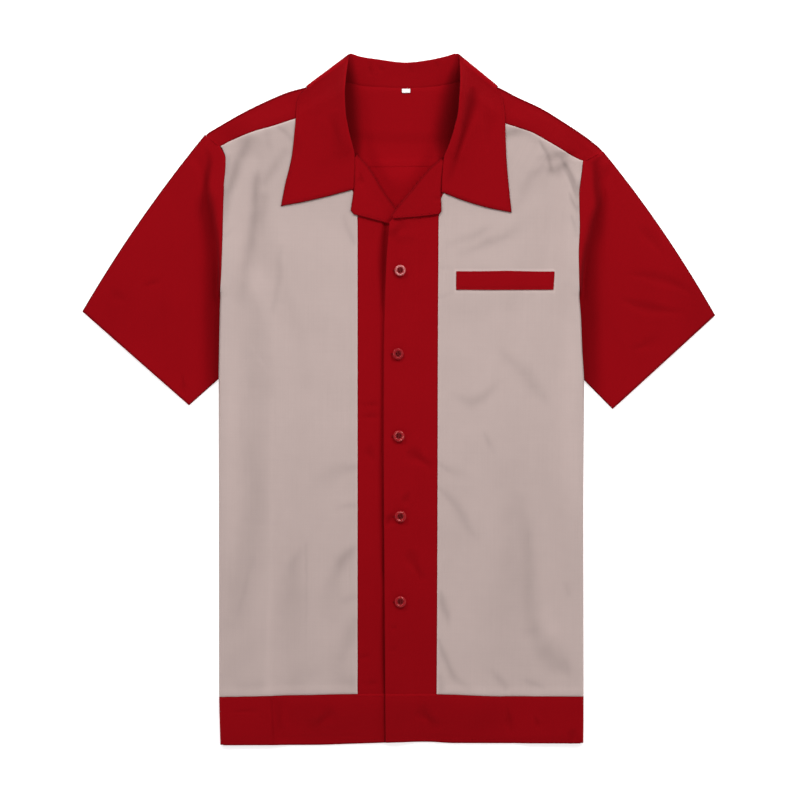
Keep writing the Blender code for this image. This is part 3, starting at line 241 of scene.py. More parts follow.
# the shade column is painted shade on the cloth's colour (painted light where negative); the bands also sink the
# cloth a little
FOLDS = {  # soft bands on the front panels: x, y, half width, shade (light is negative)
    RIGHT: [
        [(-161.8, 280, 3.6, 8), (-166, 270, 4.6, 24), (-171.5, 261, 5.0, 29),
         (-178, 241.6, 4.8, 30), (-184.2, 222, 4.0, 27), (-187.0, 203, 3.0, 18),
         (-188.5, 176, 2.0, 2)],
        [(-182, 264, 1.6, 10), (-185, 252, 1.8, 18), (-186.6, 237, 1.6, 8)],
        [(-152, 246, 2.5, 8), (-154, 236, 3.2, 22), (-155.3, 205, 3.6, 25),
         (-157.5, 185, 3.6, 22), (-160, 166, 4.2, 20), (-165, 138, 5.0, 14),
         (-169.3, 112, 5.5, 8), (-171, 96, 5.5, 0)],
        [(-145, 218, 3.6, 15), (-147.5, 200, 4.0, 12), (-147.7, 180, 3.0, 4)],
        [(-122.9, 266, 4.0, 10), (-133.7, 250.3, 4.6, 15), (-144.5, 235.2, 4.2, 12)],
        [(-129.4, 293.5, 1.8, 12), (-122, 288, 2.2, 15), (-116.4, 281, 2.2, 10)],
        [(-141.3, 288, 3.0, 8), (-140, 278, 3.2, 10), (-138, 268, 3.5, 4)],
        [(-127.2, 164, 2.2, 4), (-128.5, 148, 2.6, 8), (-129.4, 134, 2.8, 9),
         (-132.5, 112, 2.6, 9), (-136, 96, 2.4, 5)],
        [(-170, 120, 7, 4), (-161, 100, 9, 8), (-155.3, 80, 10.5, 10), (-153, 32, 11.5, 11),
         (-155, -22, 11, 10), (-157.5, -54, 9.5, 12), (-153.5, -98, 8.5, 12),
         (-158.5, -138.5, 9.5, 13), (-166.2, -186, 11, 14), (-172, -215, 10.5, 14),
         (-177, -240, 9, 8)],
        [(-157, -170, 2.4, 3), (-163, -190, 2.2, 5), (-171, -222, 2.2, 5), (-174, -236, 2.2, 2)],
        [(-107.5, -165, 3.2, 5), (-113.5, -178, 4.6, 14), (-116, -195, 7.0, 11),
         (-117, -215, 9.5, 11), (-118.5, -238, 10.5, 9), (-121, -262, 11, 5)],
        [(-100.2, -156, 0.9, 6), (-99.8, -182, 1.0, 9), (-99.6, -207, 1.0, 6),
         (-99.8, -255, 1.0, 3)],
        [(-46.5, -73.7, 3.0, 13), (-58, -75.5, 4.6, 12), (-68, -79, 6.5, 10),
         (-82, -88, 8.5, 7), (-92, -98, 7, 2)],
        [(-46.5, -113.7, 2.2, 11), (-58, -114.7, 2.4, 9), (-66, -117, 2.4, 3)],
        [(-46.5, -160, 3.0, 12), (-55, -168, 4.2, 22), (-62, -177, 4.8, 24),
         (-67, -188, 5.2, 14), (-72, -205, 7.5, 9), (-75, -232, 8, 5)],
        [(-46.5, -213, 2.8, 9), (-58, -216, 4.0, 9), (-64, -212, 4.0, 3)],
        [(-47.5, -238, 3.6, 8), (-52, -252, 6.0, 12), (-56, -264, 6.5, 12),
         (-60, -276, 5.5, 7)],
        [(-70, -268, 6, 4), (-66, -286, 7, 6), (-62, -302, 7, 11), (-52, -306, 6, 10)],
        [(-150, -262, 10, 4), (-165, -275, 10, 7), (-178, -290, 9, 6)],
        [(-170, -311, 5, 6), (-150, -308, 5, 5)],
        [(-112, -306, 7, 6), (-104, -300, 7, 6), (-92, -296, 7, 4)],
        [(-59.2, 198.5, 2.2, 6), (-55, 184, 2.2, 10), (-47.3, 168.2, 1.8, 10)],
        [(-192, 172, 1.8, 6), (-184, 179, 1.8, 6), (-178, 184, 1.6, 2)],
        [(-181, 70, 6, 0), (-181.5, 0, 6.5, -5), (-181.5, -100, 6, -5), (-183, -165, 5, -3)],
        [(-137.2, 0, 1.8, -2), (-137.5, -100, 1.8, -3), (-138, -173, 2.0, -4),
         (-140, -240, 2.8, -5), (-141.5, -318, 4.2, -7)],
        [(-118, 0, 14, -2), (-116, -100, 14, -3), (-112, -140, 12, -2)],
    ],
    LEFT: [
        [(117, 286, 3.8, 22), (125, 289, 3.8, 28), (134, 290, 3.4, 22), (147, 283.5, 2.8, 8)],
        [(152, 279, 1.2, 14), (156, 272, 1.5, 24), (160.5, 262, 1.8, 25), (164.4, 249, 1.8, 18)],
        [(163, 247, 3.4, 17), (170, 247, 4.4, 23), (177, 252, 3.2, 22), (181, 256, 2.2, 10)],
        [(176, 259.5, 1.5, 16), (181, 252, 1.8, 29), (187, 240, 1.8, 31), (192, 227, 1.6, 26),
         (194, 216, 1.4, 16)],
        [(179, 249, 1.2, 8), (184, 239, 1.3, 22), (188.5, 227, 1.3, 26), (192.5, 212, 1.3, 14)],
        [(184, 222, 1.2, 10), (188, 212, 1.5, 22), (192, 200, 1.4, 18), (192, 190, 1.2, 8)],
        [(186, 197, 1.2, 8), (189, 188, 1.4, 14), (190.5, 176, 1.2, 8)],
        [(172, 262, 7, 6), (182, 256, 6, 8), (192, 250, 4, 6)],
        [(155, 252, 2.5, 8), (149, 244, 3.6, 12), (141.7, 237, 4.6, 12), (133, 221, 6.0, 10),
         (129, 209, 5, 6)],
        [(97, 185, 2.6, 4), (90, 182, 3.2, 11), (82.3, 177, 3.2, 12), (68, 172, 3.4, 8),
         (54, 167.5, 3, 6)],
        [(146, 200, 6, 3), (134, 190, 6, 6), (122.3, 179, 4.2, 10), (106, 172.5, 3.4, 14),
         (94, 167.5, 3.4, 15), (84, 163, 3.2, 10), (68, 159, 3.2, 5)],
        [(45, 142.5, 1.4, 7), (57, 142, 1.6, 5)],
        [(45, 111, 1.6, 8), (57, 116, 1.6, 6)],
        [(52, 100, 8, 4), (80, 99, 9, 5), (112, 101, 8, 4)],
        [(112, 51, 4.2, 5), (118, 44, 4.8, 10), (127, 35, 5.0, 9), (136.3, 26, 5.8, 10),
         (146, 12, 6.4, 13), (155, 2, 5.0, 9)],
        [(60, 4, 3.2, 5), (70, -1, 3.8, 11), (81, -3, 4.6, 14), (93, 3, 4.0, 12),
         (101, 12, 3.2, 9), (106, 18, 2.6, 3)],
        [(183, 100, 7, 0), (184, 60, 8, -7), (184.5, 0, 9, -10), (185.5, -60, 9, -10),
         (187, -110, 8, -6), (188, -150, 7, -2)],
        [(93, -38, 2.2, 8), (97, -46, 2.4, 11), (101, -56, 2.2, 5)],
        [(44.5, -70, 2.0, 9), (52, -75, 2.6, 11), (62, -80, 4, 8), (74, -82, 4, 3)],
        [(44.5, -96, 2, 10), (53, -105, 2.8, 12), (61, -114, 3.4, 13), (68, -126, 4.2, 14),
         (75, -138, 3.8, 11), (83, -150, 3.0, 4)],
        [(110, -70, 8, 3), (116, -100, 11, 6), (124, -125, 12, 9), (127, -160, 14, 10),
         (126, -200, 15, 11), (112, -235, 18, 10), (108, -262, 18, 8)],
        [(134, -112, 3.5, 2), (137, -135, 4, 5), (139.5, -152, 4.2, 9), (141.5, -189, 5.0, 10),
         (142.5, -222, 5.6, 12), (144.5, -246, 6.4, 12)],
        [(147, -254, 6.5, 10), (153, -265, 8.2, 19), (161, -274, 8.6, 21), (171, -283.5, 8, 20),
         (181, -293, 5.5, 14), (188, -300, 4, 4)],
        [(45, -208, 2.0, 14), (47, -218, 3.0, 22), (51, -232, 3.0, 18), (53, -242, 2.6, 6)],
        [(43.5, -260, 1.6, 13), (48, -274, 2.4, 20), (55, -291, 2.6, 20), (62, -301, 3.0, 16),
         (74, -310, 3.4, 8)],
        [(44, -300, 3, 10), (46, -312, 3, 12)],
        [(102, -294, 3, 6), (108, -302, 3.4, 14), (115, -311, 3.2, 12)],
        [(138, -303, 2.4, 8), (146, -307, 2.6, 14), (155, -309, 2.4, 8)],
        [(181, -199, 2.0, 6), (183, -210, 2.0, 7)],
        [(100, -290, 18, 4), (135, -296, 16, 6)],
        [(160, -232, 7, -4), (165, -248, 6, -6)],
    ],
}
FRONT_LIFT = [(-380, 2), (-200, 2.05), (-100, 2.6), (-20, 3.8), (20, 4.1), (112, 4.1),
              (150, 1.5), (190, 0.2), (215, 0), (380, 0)]  # y, layers under the front's sides
SPREAD = [(-380, 53), (0, 53), (50, 50), (90, 40), (130, 24), (170, 12), (200, 8),
          (380, 8)]                                # y, reach of that lift from the side
NECK_SHADE = {  # y, reach inward from the roll line, shade
    RIGHT: [(372, 3, 0.6), (362, 6, 1.8), (345, 9, 3.0), (320, 12, 3.2), (295, 11, 3.2),
            (275, 8, 2.6), (262, 4, 1.2), (250, 2, 0)],
    LEFT: [(372, 3, 0.6), (362, 6, 1.8), (345, 11, 3.3), (325, 15, 3.6), (300, 16, 3.8),
           (280, 13, 3.4), (262, 6, 1.6), (250, 2, 0)],
}
# painted shadow on the sleeves beside the body
ARM_SHADE = {  # y, middle and half widths of the shade beside the armhole, shade
    RIGHT: [(-10, 5, 8, 9, 1.0), (20, 6, 9, 9.5, 1.6), (75, 8, 9, 9.5, 1.7),
            (118, 9.5, 8.5, 9.5, 1.75), (156, 12, 6, 8, 1.9), (189, 14.5, 5.5, 9.5, 2.3),
            (204, 17, 8, 11, 2.1), (215, 18.5, 8.5, 9, 2.0), (225, 19.5, 4.4, 4.8, 2.0),
            (232, 19.8, 3.5, 3.8, 2.1), (253, 18, 3.4, 3.6, 1.8), (266, 16.5, 3, 3.4, 0.9),
            (276, 15.5, 3, 3, 0)],
    LEFT: [(-10, 5, 8, 9, 1.0), (20, 6.5, 9, 10, 1.6), (75, 9, 9, 10.5, 1.8),
           (118, 10.5, 8.5, 11.5, 1.9), (156, 12.5, 6.5, 10.5, 2.4), (189, 18, 8, 9.5, 2.5),
           (210, 21, 4.4, 7.5, 2.3), (232, 17.3, 3.4, 5.6, 2.2), (253.5, 13.5, 3.2, 4.9, 1.9),
           (265, 11.5, 3, 4, 0.9), (276, 10, 3, 3, 0)],
}
EDGE_RISE = [  # y, rise of the body's side over its layers
    (-374, 0.4), (-318, 1.4), (-200, 3.0), (-100, 4.2), (-60, 4.3), (-6, 4.7), (20, 5.0),
    (45, 5.4), (80, 5.8), (112, 6.0), (130, 8.0), (150, 9.6), (200, 8.6),
    (230, 6.6), (250, 4.2), (262, 2.4), (285, 0.6)]
# painted shadow beside the overlapping front edge
LAP_SHADE = [  # y, width, shade beside the overlapping front edge
    (-375, 1.0, 1.2), (-362, 1.4, 1.6), (-345, 2.0, 2.8), (-300, 2.0, 2.8), (-262, 1.8, 2.4),
    (-245, 1.2, 1.2), (-203, 1.2, 1.2), (-180, 2.4, 2.8), (-120, 2.4, 2.8), (-92, 2.0, 2.0),
    (-60, 1.4, 1.0), (60, 1.4, 0.8), (100, 1.6, 0.8), (150, 2.0, 0.8), (215, 2.2, 0.8)]
STEP = {  # y, strip beside the armhole, foot of the fall, width of the rise beyond
    RIGHT: [(24, 0, 4, 34), (95, 0, 5, 34), (124, 0.3, 7, 34), (149, 1.5, 9.5, 34),
            (173, 3, 13, 32), (200, 8, 19, 28), (216, 12, 24, 22),
            (230, 17, 29, 16), (246, 22, 33, 9), (262, 24, 34, 8), (280, 18, 27, 7)],
    LEFT: [(24, 0, 4, 34), (95, 0, 5, 34), (127, 0.3, 7, 34), (149, 2, 11.5, 34),
           (170, 4.5, 17, 32), (194, 11, 24, 26), (212, 17, 29, 20),
           (228, 23, 34, 14), (244, 26, 37, 10), (257, 22, 32, 8), (266, 12, 20, 7)],
}


# ---------------------------------------------------------------- curves
def curve(rows, key=0, value=1):
    """Smooth monotone curve through two columns of a table, for arrays."""
    pts = sorted((float(r[key]), float(r[value])) for r in rows)
    xs, ys = (np.array([p[k] for p in pts]) for k in (0, 1))
    h = np.diff(xs)
    d = np.diff(ys) / h
    m = np.zeros(len(xs))
    m[0], m[-1] = d[0], d[-1]
    for i in range(1, len(xs) - 1):
        if d[i - 1] * d[i] > 0:
            w0, w1 = 2 * h[i] + h[i - 1], h[i] + 2 * h[i - 1]
            m[i] = (w0 + w1) / (w0 / d[i - 1] + w1 / d[i])

    def f(x):
        x = np.clip(np.asarray(x, float), xs[0], xs[-1])
        i = np.clip(np.searchsorted(xs, x, side="right") - 1, 0, len(xs) - 2)
        t = (x - xs[i]) / h[i]
        return (ys[i] * (1 + 2 * t) * (1 - t) ** 2 + h[i] * m[i] * t * (1 - t) ** 2
                + ys[i + 1] * t * t * (3 - 2 * t) + h[i] * m[i + 1] * t * t * (t - 1))
    return f


def S(t):
    t = np.clip(t, 0.0, 1.0)
    return t * t * (3 - 2 * t)


def mix(a, b, t):
    return a + (b - a) * t


def hump(d, w):
    return np.exp(-(d / w) ** 2)


FINE = [0.0, 0.35, 0.8, 1.4, 2.2, 3.2, 4.4]


def spaced(length, step, start=True, end=True):
    """Stations from 0 to 1 along a length in mm, closer together at the ends."""
    a = FINE if start else [0.0]
    b = FINE if end else [0.0]
    n = max(2, int(round((length - a[-1] - b[-1]) / step)))
    middle = np.linspace(a[-1], length - b[-1], n + 1)
    return np.concatenate([a[:-1], middle, [length - v for v in b[-2::-1]]]) / length


def waves(x, y, size, seed, count=7):
    """Smooth uneven ripples from about -1 to 1."""
    rng = np.random.default_rng(seed)
    total = 0.0
    for _ in range(count):
        a, p = rng.uniform(0, 2 * math.pi, 2)
        s = size * rng.uniform(0.6, 1.7)
        total = total + np.sin((x * math.cos(a) + y * math.sin(a)) * 2 * math.pi / s + p)
    return total / (0.8 * count)


edge_x = {s: curve(EDGE[s]) for s in EDGE}
strip_width = curve(TUCK, 0, 1)
layers_beneath = curve(TUCK, 0, 2)
shoulder_y = curve(SHOULDER)
yoke_seam_y = curve(YOKE_SEAM)
back_neck_y = curve(BACK_NECK)
band_seam_y = curve(BAND_SEAM)
hem_y = curve(HEM)
edge_rise = curve(EDGE_RISE)
front_lift = curve(FRONT_LIFT)
spread_reach = curve(SPREAD)
placket_x = {s: curve(PLACKET_SEAM[s]) for s in PLACKET_SEAM}
overlap_x = curve(OVERLAP_EDGE)
lap_rise = curve(LAP)
fold_y = {s: curve(FOLD_LINE[s]) for s in FOLD_LINE}


# ---------------------------------------------------------------- heights
WIDEN, DEEPEN = 1.2, 1.8


def smooth_line(points, n=8):
    """Rows along a smooth curve through the rows of a table."""
    p = np.asarray(points, float)
    q = np.concatenate([[2 * p[0] - p[1]], p, [2 * p[-1] - p[-2]]])
    t = np.linspace(0, 1, n, endpoint=False)[:, None]
    out = [0.5 * (2 * b + (c - a) * t + (2 * a - 5 * b + 4 * c - d) * t ** 2
                  + (3 * b - 3 * c + d - a) * t ** 3)
           for a, b, c, d in zip(q, q[1:], q[2:], q[3:])]
    return np.concatenate(out + [p[-1:]])


def folds(x, y, side):
    """Height and painted shade of the soft bands across a front panel."""
    wx = x + 1.0 * waves(x, y, 26, 91) + 0.4 * waves(x, y, 9, 92)
    wy = y + 1.4 * waves(x, y, 30, 93) + 0.5 * waves(x, y, 11, 94)
    uneven = 1 + 0.14 * waves(x, y, 24, 95)
    height, tone = np.zeros(x.shape), np.zeros(x.shape)
    for points in FOLDS[side]:
        line = smooth_line(points)
        r = 2.6 * line[:, 2].max()
        near = ((wx > line[:, 0].min() - r) & (wx < line[:, 0].max() + r)
                & (wy > line[:, 1].min() - r) & (wy < line[:, 1].max() + r))
        if not near.any():
            continue
        qx, qy = wx[near], wy[near]
        best, width, shade = np.full(qx.shape, 1e9), np.ones(qx.shape), np.zeros(qx.shape)
        for a, b in zip(line, line[1:]):
            dx, dy = b[0] - a[0], b[1] - a[1]
            u = np.clip(((qx - a[0]) * dx + (qy - a[1]) * dy) / (dx * dx + dy * dy), 0, 1)
            d = np.hypot(qx - a[0] - u * dx, qy - a[1] - u * dy)
            closer = d < best
            width = np.where(closer, mix(a[2], b[2], u), width)
            shade = np.where(closer, mix(a[3], b[3], u), shade)
            best = np.minimum(best, d)
        h = np.exp(-(best / (width * 1.42)) ** mix(1.9, 2.5, S((width - 4.0) / 8.0)))
        # painted shade along the band
        tone[near] -= 0.053 * mix(1.0, 0.68, S((width - 4.0) / 10.0)) * shade * h * uneven[near]
        height[near] -= 0.040 * shade * np.clip(width / 5.0, 0.5, 1.4) * h
    return height, tone


def creases(x, y, name, lip=0.12):
    """Height of the soft troughs and ridges of one table at points x, y."""
    total = np.zeros(np.shape(x))
    for x0, y0, xm, ym, x1, y1, width, height in CREASES[name]:
        width, height = width * WIDEN, height * DEEPEN
        t = np.linspace(0, 1, 13)
        cx, cy = 2 * xm - (x0 + x1) / 2, 2 * ym - (y0 + y1) / 2
        px = (1 - t) ** 2 * x0 + 2 * t * (1 - t) * cx + t * t * x1
        py = (1 - t) ** 2 * y0 + 2 * t * (1 - t) * cy + t * t * y1
        r = 3.6 * width
        near = ((x > px.min() - r) & (x < px.max() + r)
                & (y > py.min() - r) & (y < py.max() + r))
        if not near.any():
            continue
        qx, qy = x[near], y[near]
        best, along = np.full(qx.shape, 1e9), np.zeros(qx.shape)
        for k in range(12):
            dx, dy = px[k + 1] - px[k], py[k + 1] - py[k]
            u = np.clip(((qx - px[k]) * dx + (qy - py[k]) * dy) / (dx * dx + dy * dy), 0, 1)
            d = np.hypot(qx - px[k] - u * dx, qy - py[k] - u * dy)
            along = np.where(d < best, (k + u) / 12, along)
            best = np.minimum(best, d)
        taper = np.sin(math.pi * along) ** 0.7
        q = best / (width * (0.8 + 0.3 * np.sin(2.3 * math.pi * along + width)))
        total[near] += height * taper * (hump(q, 1.0) - lip * hump(q - 2.0, 0.9))
    return total


def bend_x(side, y):
    return edge_x[side](y) - SIGN[side] * (FRONT_BEND + CLOTH / 2)


def inward(side, x, y):
    return SIGN[side] * (bend_x(side, y) - x)


def plateau(y):
    return np.maximum(strip_width(y) + 2.0, 8.0)


def spread(y):
    return np.maximum(plateau(y), spread_reach(y))


FALL_OUTLINE = ([(r[1], r[2]) for r in COLLAR[RIGHT][3:4]]
                + [(r[6], r[7]) for r in reversed(COLLAR[RIGHT][:4])]
                + [(COLLAR_CENTRE[6], COLLAR_CENTRE[7])]
                + [(r[6], r[7]) for r in COLLAR[LEFT][:4]]
                + [(r[1], r[2]) for r in COLLAR[LEFT][3:4]])


def outside_fall(x, y):
    best = np.full(np.shape(x), 1e9)
    inside = np.zeros(np.shape(x), bool)
    n = len(FALL_OUTLINE)
    for i in range(n):
        (ax, ay), (bx, by) = FALL_OUTLINE[i], FALL_OUTLINE[(i + 1) % n]
        dx, dy = bx - ax, by - ay
        t = np.clip(((x - ax) * dx + (y - ay) * dy) / (dx * dx + dy * dy), 0, 1)
        best = np.minimum(best, np.hypot(x - ax - t * dx, y - ay - t * dy))
        if dy:
            inside ^= ((ay > y) != (by > y)) & (x < ax + dx * (y - ay) / dy)
    return np.where(inside, 0.0, best)


def tuck_lift(y):
    return PITCH * layers_beneath(y)


def neck_swell(x, y):
    """Back yoke swelling up a little in the open neck."""
    half = np.interp(y, [205, 240, 262, 300, 340], [6.0, 26.0, 38.0, 46.0, 50.0])
    return 2.3 * S((half - np.abs(x - 2.0)) / 17.0) * S((y - 214) / 30.0) * S((344 - y) / 12.0)


def back_z(x, y):
    """Middle of the back layer."""
    x, y = np.broadcast_arrays(np.asarray(x, float), np.asarray(y, float))
    z = np.full(x.shape, BASE)
    for side in SIGN:
        z = z + tuck_lift(y) * S(1 - (inward(side, x, y) - plateau(y)) / TUCK_RAMP)
    return z + FALL_LIFT * S(1 - (outside_fall(x, y) - 12.0) / 16.0) + neck_swell(x, y)


def puff(x, y):
    d = np.minimum(*(inward(s, x, y) for s in SIGN))
    return (PUFF * S((d - spread(y) - 5.0) / 42.0) * S((y - hem_y(x)) / 48.0)
            * S((shoulder_y(x) - y) / 34.0))


def side_rise(x, y):
    """Front lifted along the sides by the roll of cloth turned under there."""
    d = np.minimum(*(np.maximum(inward(s, x, y), 0) for s in SIGN))
    return edge_rise(y) * (1 - S((d - 3.0) / 30.0)) * S((shoulder_y(x) - y) / 12.0)


def front_z(x, y):
    """Middle of the front layer, without seams and creases."""
    x, y = np.broadcast_arrays(np.asarray(x, float), np.asarray(y, float))
    z = np.full(x.shape, BASE + PITCH) + FALL_LIFT * S(1 - (outside_fall(x, y) - 12.0) / 16.0)
    ramp = mix(TUCK_RAMP + 4.0, 36.0, S((y + 160) / 180.0))
    for side in SIGN:
        z = z + PITCH * front_lift(y) * S(1 - (inward(side, x, y) - spread(y)) / ramp)
    loose = S(puff(x, y) / 1.5)
    return (z + puff(x, y) + side_rise(x, y) + 0.55 * waves(x, y, 95, 3) * loose
            + 0.20 * waves(x, y, 36, 5) * loose)


def over_lift(x, y):
    """Rise of the left front over the right front and over the right lapel's tip."""
    lap = lap_rise(y) * S((22.0 - x) / 24.0)
    tip = LAPEL_LIFT * S((y - 165.0) / 15.0) * S((27.0 - x) / 14.0)
    return lap + tip


def over_z(x, y):
    return front_z(x, y) + over_lift(x, y)


def seam_roll(d, rise=0.5, width=8.5):
    """Cloth beside a seam: lifted by the allowance under it and rolled at the edge."""
    return rise * S((width - d) / 2.5) - (rise + 0.35) * hump(d, 0.95)


def seam_dip(d):
    return -0.75 * hump(d, 1.0)


def pucker(s, d, seed, size=9.0, reach=4.0, height=0.11):
    return height * waves(s, s * 0.0, size, seed, 5) * hump(d, reach)


def clear(z, floor):
    """z kept above the layer beneath."""
    return floor + np.where(z - floor > 0.5, z - floor, 0.5 * np.exp((z - floor) / 0.5 - 1))


def lap_shade(x, y):
    """Painted shadow on the under front, beside the edge that laps over it."""
    width, shade = (curve(LAP_SHADE, 0, c)(y) for c in (1, 2))
    return -shade * np.exp(-(np.maximum(overlap_x(y) - 0.7 - x, 0) / width) ** 2)


# ---------------------------------------------------------------- closed walls
PIECES = {}


def mesh_object(name, verts, quads, tris=None, cut=None, tone=None):
    """Mesh from arrays; verts in mm."""
    quads = np.asarray(quads, np.int64).reshape(-1, 4)
    tris = np.zeros((0, 3), np.int64) if tris is None else np.asarray(tris, np.int64)
    used = np.unique(np.concatenate([quads.ravel(), tris.ravel()]))
    new = np.full(len(verts), -1, np.int64)
    new[used] = np.arange(len(used))
    quads, tris = new[quads], new[tris]
    mesh = bpy.data.meshes.new(name)
    mesh.vertices.add(len(used))
    mesh.vertices.foreach_set("co", (np.asarray(verts)[used] * MM).astype(np.float32).ravel())
    loops = np.concatenate([quads.ravel(), tris.ravel()])
    starts = np.concatenate([np.arange(len(quads)) * 4, len(quads) * 4 + np.arange(len(tris)) * 3])
    mesh.loops.add(len(loops))
    mesh.loops.foreach_set("vertex_index", loops.astype(np.int32))
    mesh.polygons.add(len(starts))
    mesh.polygons.foreach_set("loop_start", starts.astype(np.int32))
    mesh.update(calc_edges=True)
    mesh.validate()
    mesh.shade_smooth()
    if cut is not None:
        a = mesh.attributes.new("cut", "FLOAT_VECTOR", "POINT")
        a.data.foreach_set("vector", np.asarray(cut, np.float32)[used].ravel())
        a = mesh.attributes.new("tone", "FLOAT", "POINT")
        a.data.foreach_set("value", np.asarray(tone, np.float32)[used].ravel())
    obj = bpy.data.objects.new(name, mesh)
    bpy.context.scene.collection.objects.link(obj)
    return obj


def surface_frame(P, keep, ring):
    """Unit normals of a grid's points, and the middle of the kept cells round each."""
    nu, nv = P.shape[:2]
    cu = nu if ring else nu - 1
    i0 = np.arange(cu)
    i1 = (i0 + 1) % nu
    a, b, c, d = P[i0][:, :-1], P[i1][:, :-1], P[i1][:, 1:], P[i0][:, 1:]
    n = np.cross(c - a, d - b)
    n /= np.maximum(np.linalg.norm(n, axis=2, keepdims=True), 1e-9)
    n[~keep] = 0
    mid = (a + b + c + d) / 4
    mid[~keep] = 0
    N, C, K = np.zeros_like(P), np.zeros_like(P), np.zeros(P.shape[:2])
    for rows in (i0, i1):
        for cols in (slice(0, nv - 1), slice(1, nv)):
            np.add.at(N, (rows, cols), n)
            np.add.at(C, (rows, cols), mid)
            np.add.at(K, (rows, cols), keep.astype(float))
    N /= np.maximum(np.linalg.norm(N, axis=2, keepdims=True), 1e-9)
    C /= np.maximum(K, 1)[..., None]
    return N, C


def arc_coords(P, ring=False):
    """Coordinates on the flat cut: lengths along both directions of the grid."""
    du = np.linalg.norm(np.diff(P, axis=1), axis=2)
    dv = np.linalg.norm(np.diff(P, axis=0), axis=2)
    u = np.concatenate([np.zeros((P.shape[0], 1)), np.cumsum(du, 1)], 1)
    v = np.concatenate([np.zeros((1, P.shape[1])), np.cumsum(dv, 0)], 0)
    return np.stack([u, v, np.zeros_like(u)], 2)


def solid(name, P, slot, node, thick=CLOTH, mask=None, ring=False, cut=None, tone=None,
          rim_painted_shade=2.0):
    """Closed wall with rounded edges round a grid of points."""
    P = np.asarray(P, float)
    nu, nv = P.shape[:2]
    cu, cv = (nu if ring else nu - 1), nv - 1
    keep = np.ones((cu, cv), bool) if mask is None else mask
    N, C = surface_frame(P, keep, ring)
    thick = np.broadcast_to(np.asarray(thick, float), (nu, nv))[..., None]
    cut = arc_coords(P) if cut is None else cut
    tone = np.zeros((nu, nv)) if tone is None else tone
    # painted shade: faces that stand steep are painted darker
    tone = tone - 2.0 * S((0.80 - np.abs(N[..., 2])) / 0.6)
    top, bottom = P + N * thick / 2, P - N * thick / 2
    low = min(top[..., 2].min(), bottom[..., 2].min())
    for face in (top, bottom):
        face[..., 2] = np.maximum(face[..., 2], 0.0)
    count = nu * nv
    ii, jj = np.nonzero(keep)
    ip = (ii + 1) % nu
    A, B = ii * nv + jj, ip * nv + jj
    Cc, D = ip * nv + jj + 1, ii * nv + jj + 1
    faces = [np.stack([A, B, Cc, D], 1), np.stack([A, D, Cc, B], 1) + count]

    def absent(i, j):
        if ring:
            i = i % cu
        ok = (i >= 0) & (i < cu) & (j >= 0) & (j < cv)
        out = np.ones(len(i), bool)
        out[ok] = ~keep[i[ok], j[ok]]
        return out
    rim_edges = []
    for di, dj, p, q in ((0, -1, A, B), (1, 0, B, Cc), (0, 1, Cc, D), (-1, 0, D, A)):
        e = absent(ii + di, jj + dj)
        rim_edges.append(np.stack([p[e], q[e]], 1))
    rim_edges = np.concatenate(rim_edges)
    border = np.unique(rim_edges)
    O = (P - C).reshape(-1, 3)[border]
    Nb = N.reshape(-1, 3)[border]
    O -= Nb * (O * Nb).sum(1, keepdims=True)
    O /= np.maximum(np.linalg.norm(O, axis=1, keepdims=True), 1e-9)
    Pb, tb = P.reshape(-1, 3)[border], thick.reshape(-1, 1)[border]
    slot_of = np.full(count, -1, np.int64)
    slot_of[border] = np.arange(len(border))
    verts = [top.reshape(-1, 3), bottom.reshape(-1, 3)]
    # the painted shade lies on the faces that look up; those that look down are plain
    up, down = S((N[..., 2] + 0.6) / 0.5), S((0.6 - N[..., 2]) / 0.5)
    cuts, tones = [cut.reshape(-1, 3)] * 2, [(tone * up).ravel(), (tone * down).ravel()]
    rings = [rim_edges]
    at = 2 * count
    for k in (1, 2):
        a = math.pi / 2 - math.pi * k / 3
        ring_pts = Pb + Nb * tb / 2 * math.sin(a) + O * tb / 2 * math.cos(a)
        ring_pts[:, 2] = np.maximum(ring_pts[:, 2], 0.0)
        verts.append(ring_pts)
        cuts.append(cut.reshape(-1, 3)[border])
        # painted shade: the rounded rims are painted darker than the faces
        tones.append(tone.ravel()[border] - rim_painted_shade)
        rings.append(slot_of[rim_edges] + at)
        at += len(border)
    rings.append(rim_edges + count)
    for r0, r1 in zip(rings, rings[1:]):
        faces.append(np.stack([r0[:, 1], r0[:, 0], r1[:, 0], r1[:, 1]], 1))
    cut_all = np.concatenate(cuts)
    if slot in SLOT_SHIFT:
        SLOT_SHIFT[slot] += 137.0
        cut_all = cut_all + SLOT_SHIFT[slot]
    obj = mesh_object(name, np.concatenate(verts), np.concatenate(faces), None, cut_all,
                      np.concatenate(tones))
    obj.data.materials.append(MATERIALS[slot])
    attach(obj, "root")
    if node:
        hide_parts(node)
    cells = np.cross(P[np.arange(1, cu + 1) % nu][:, 1:] - P[:cu, :-1],
                     P[:cu, 1:] - P[np.arange(1, cu + 1) % nu][:, :-1])
    area = np.linalg.norm(cells, axis=2)[keep].sum() / 2 * 1e-6
    PIECES[name] = dict(obj=obj, P=P, N=N, thick=thick[..., 0], area=area, low=low)
    return PIECES[name]


SLOT_SHIFT = {"red_cotton": 0.0, "cream_cotton": 0.0, "white_tape": 0.0}


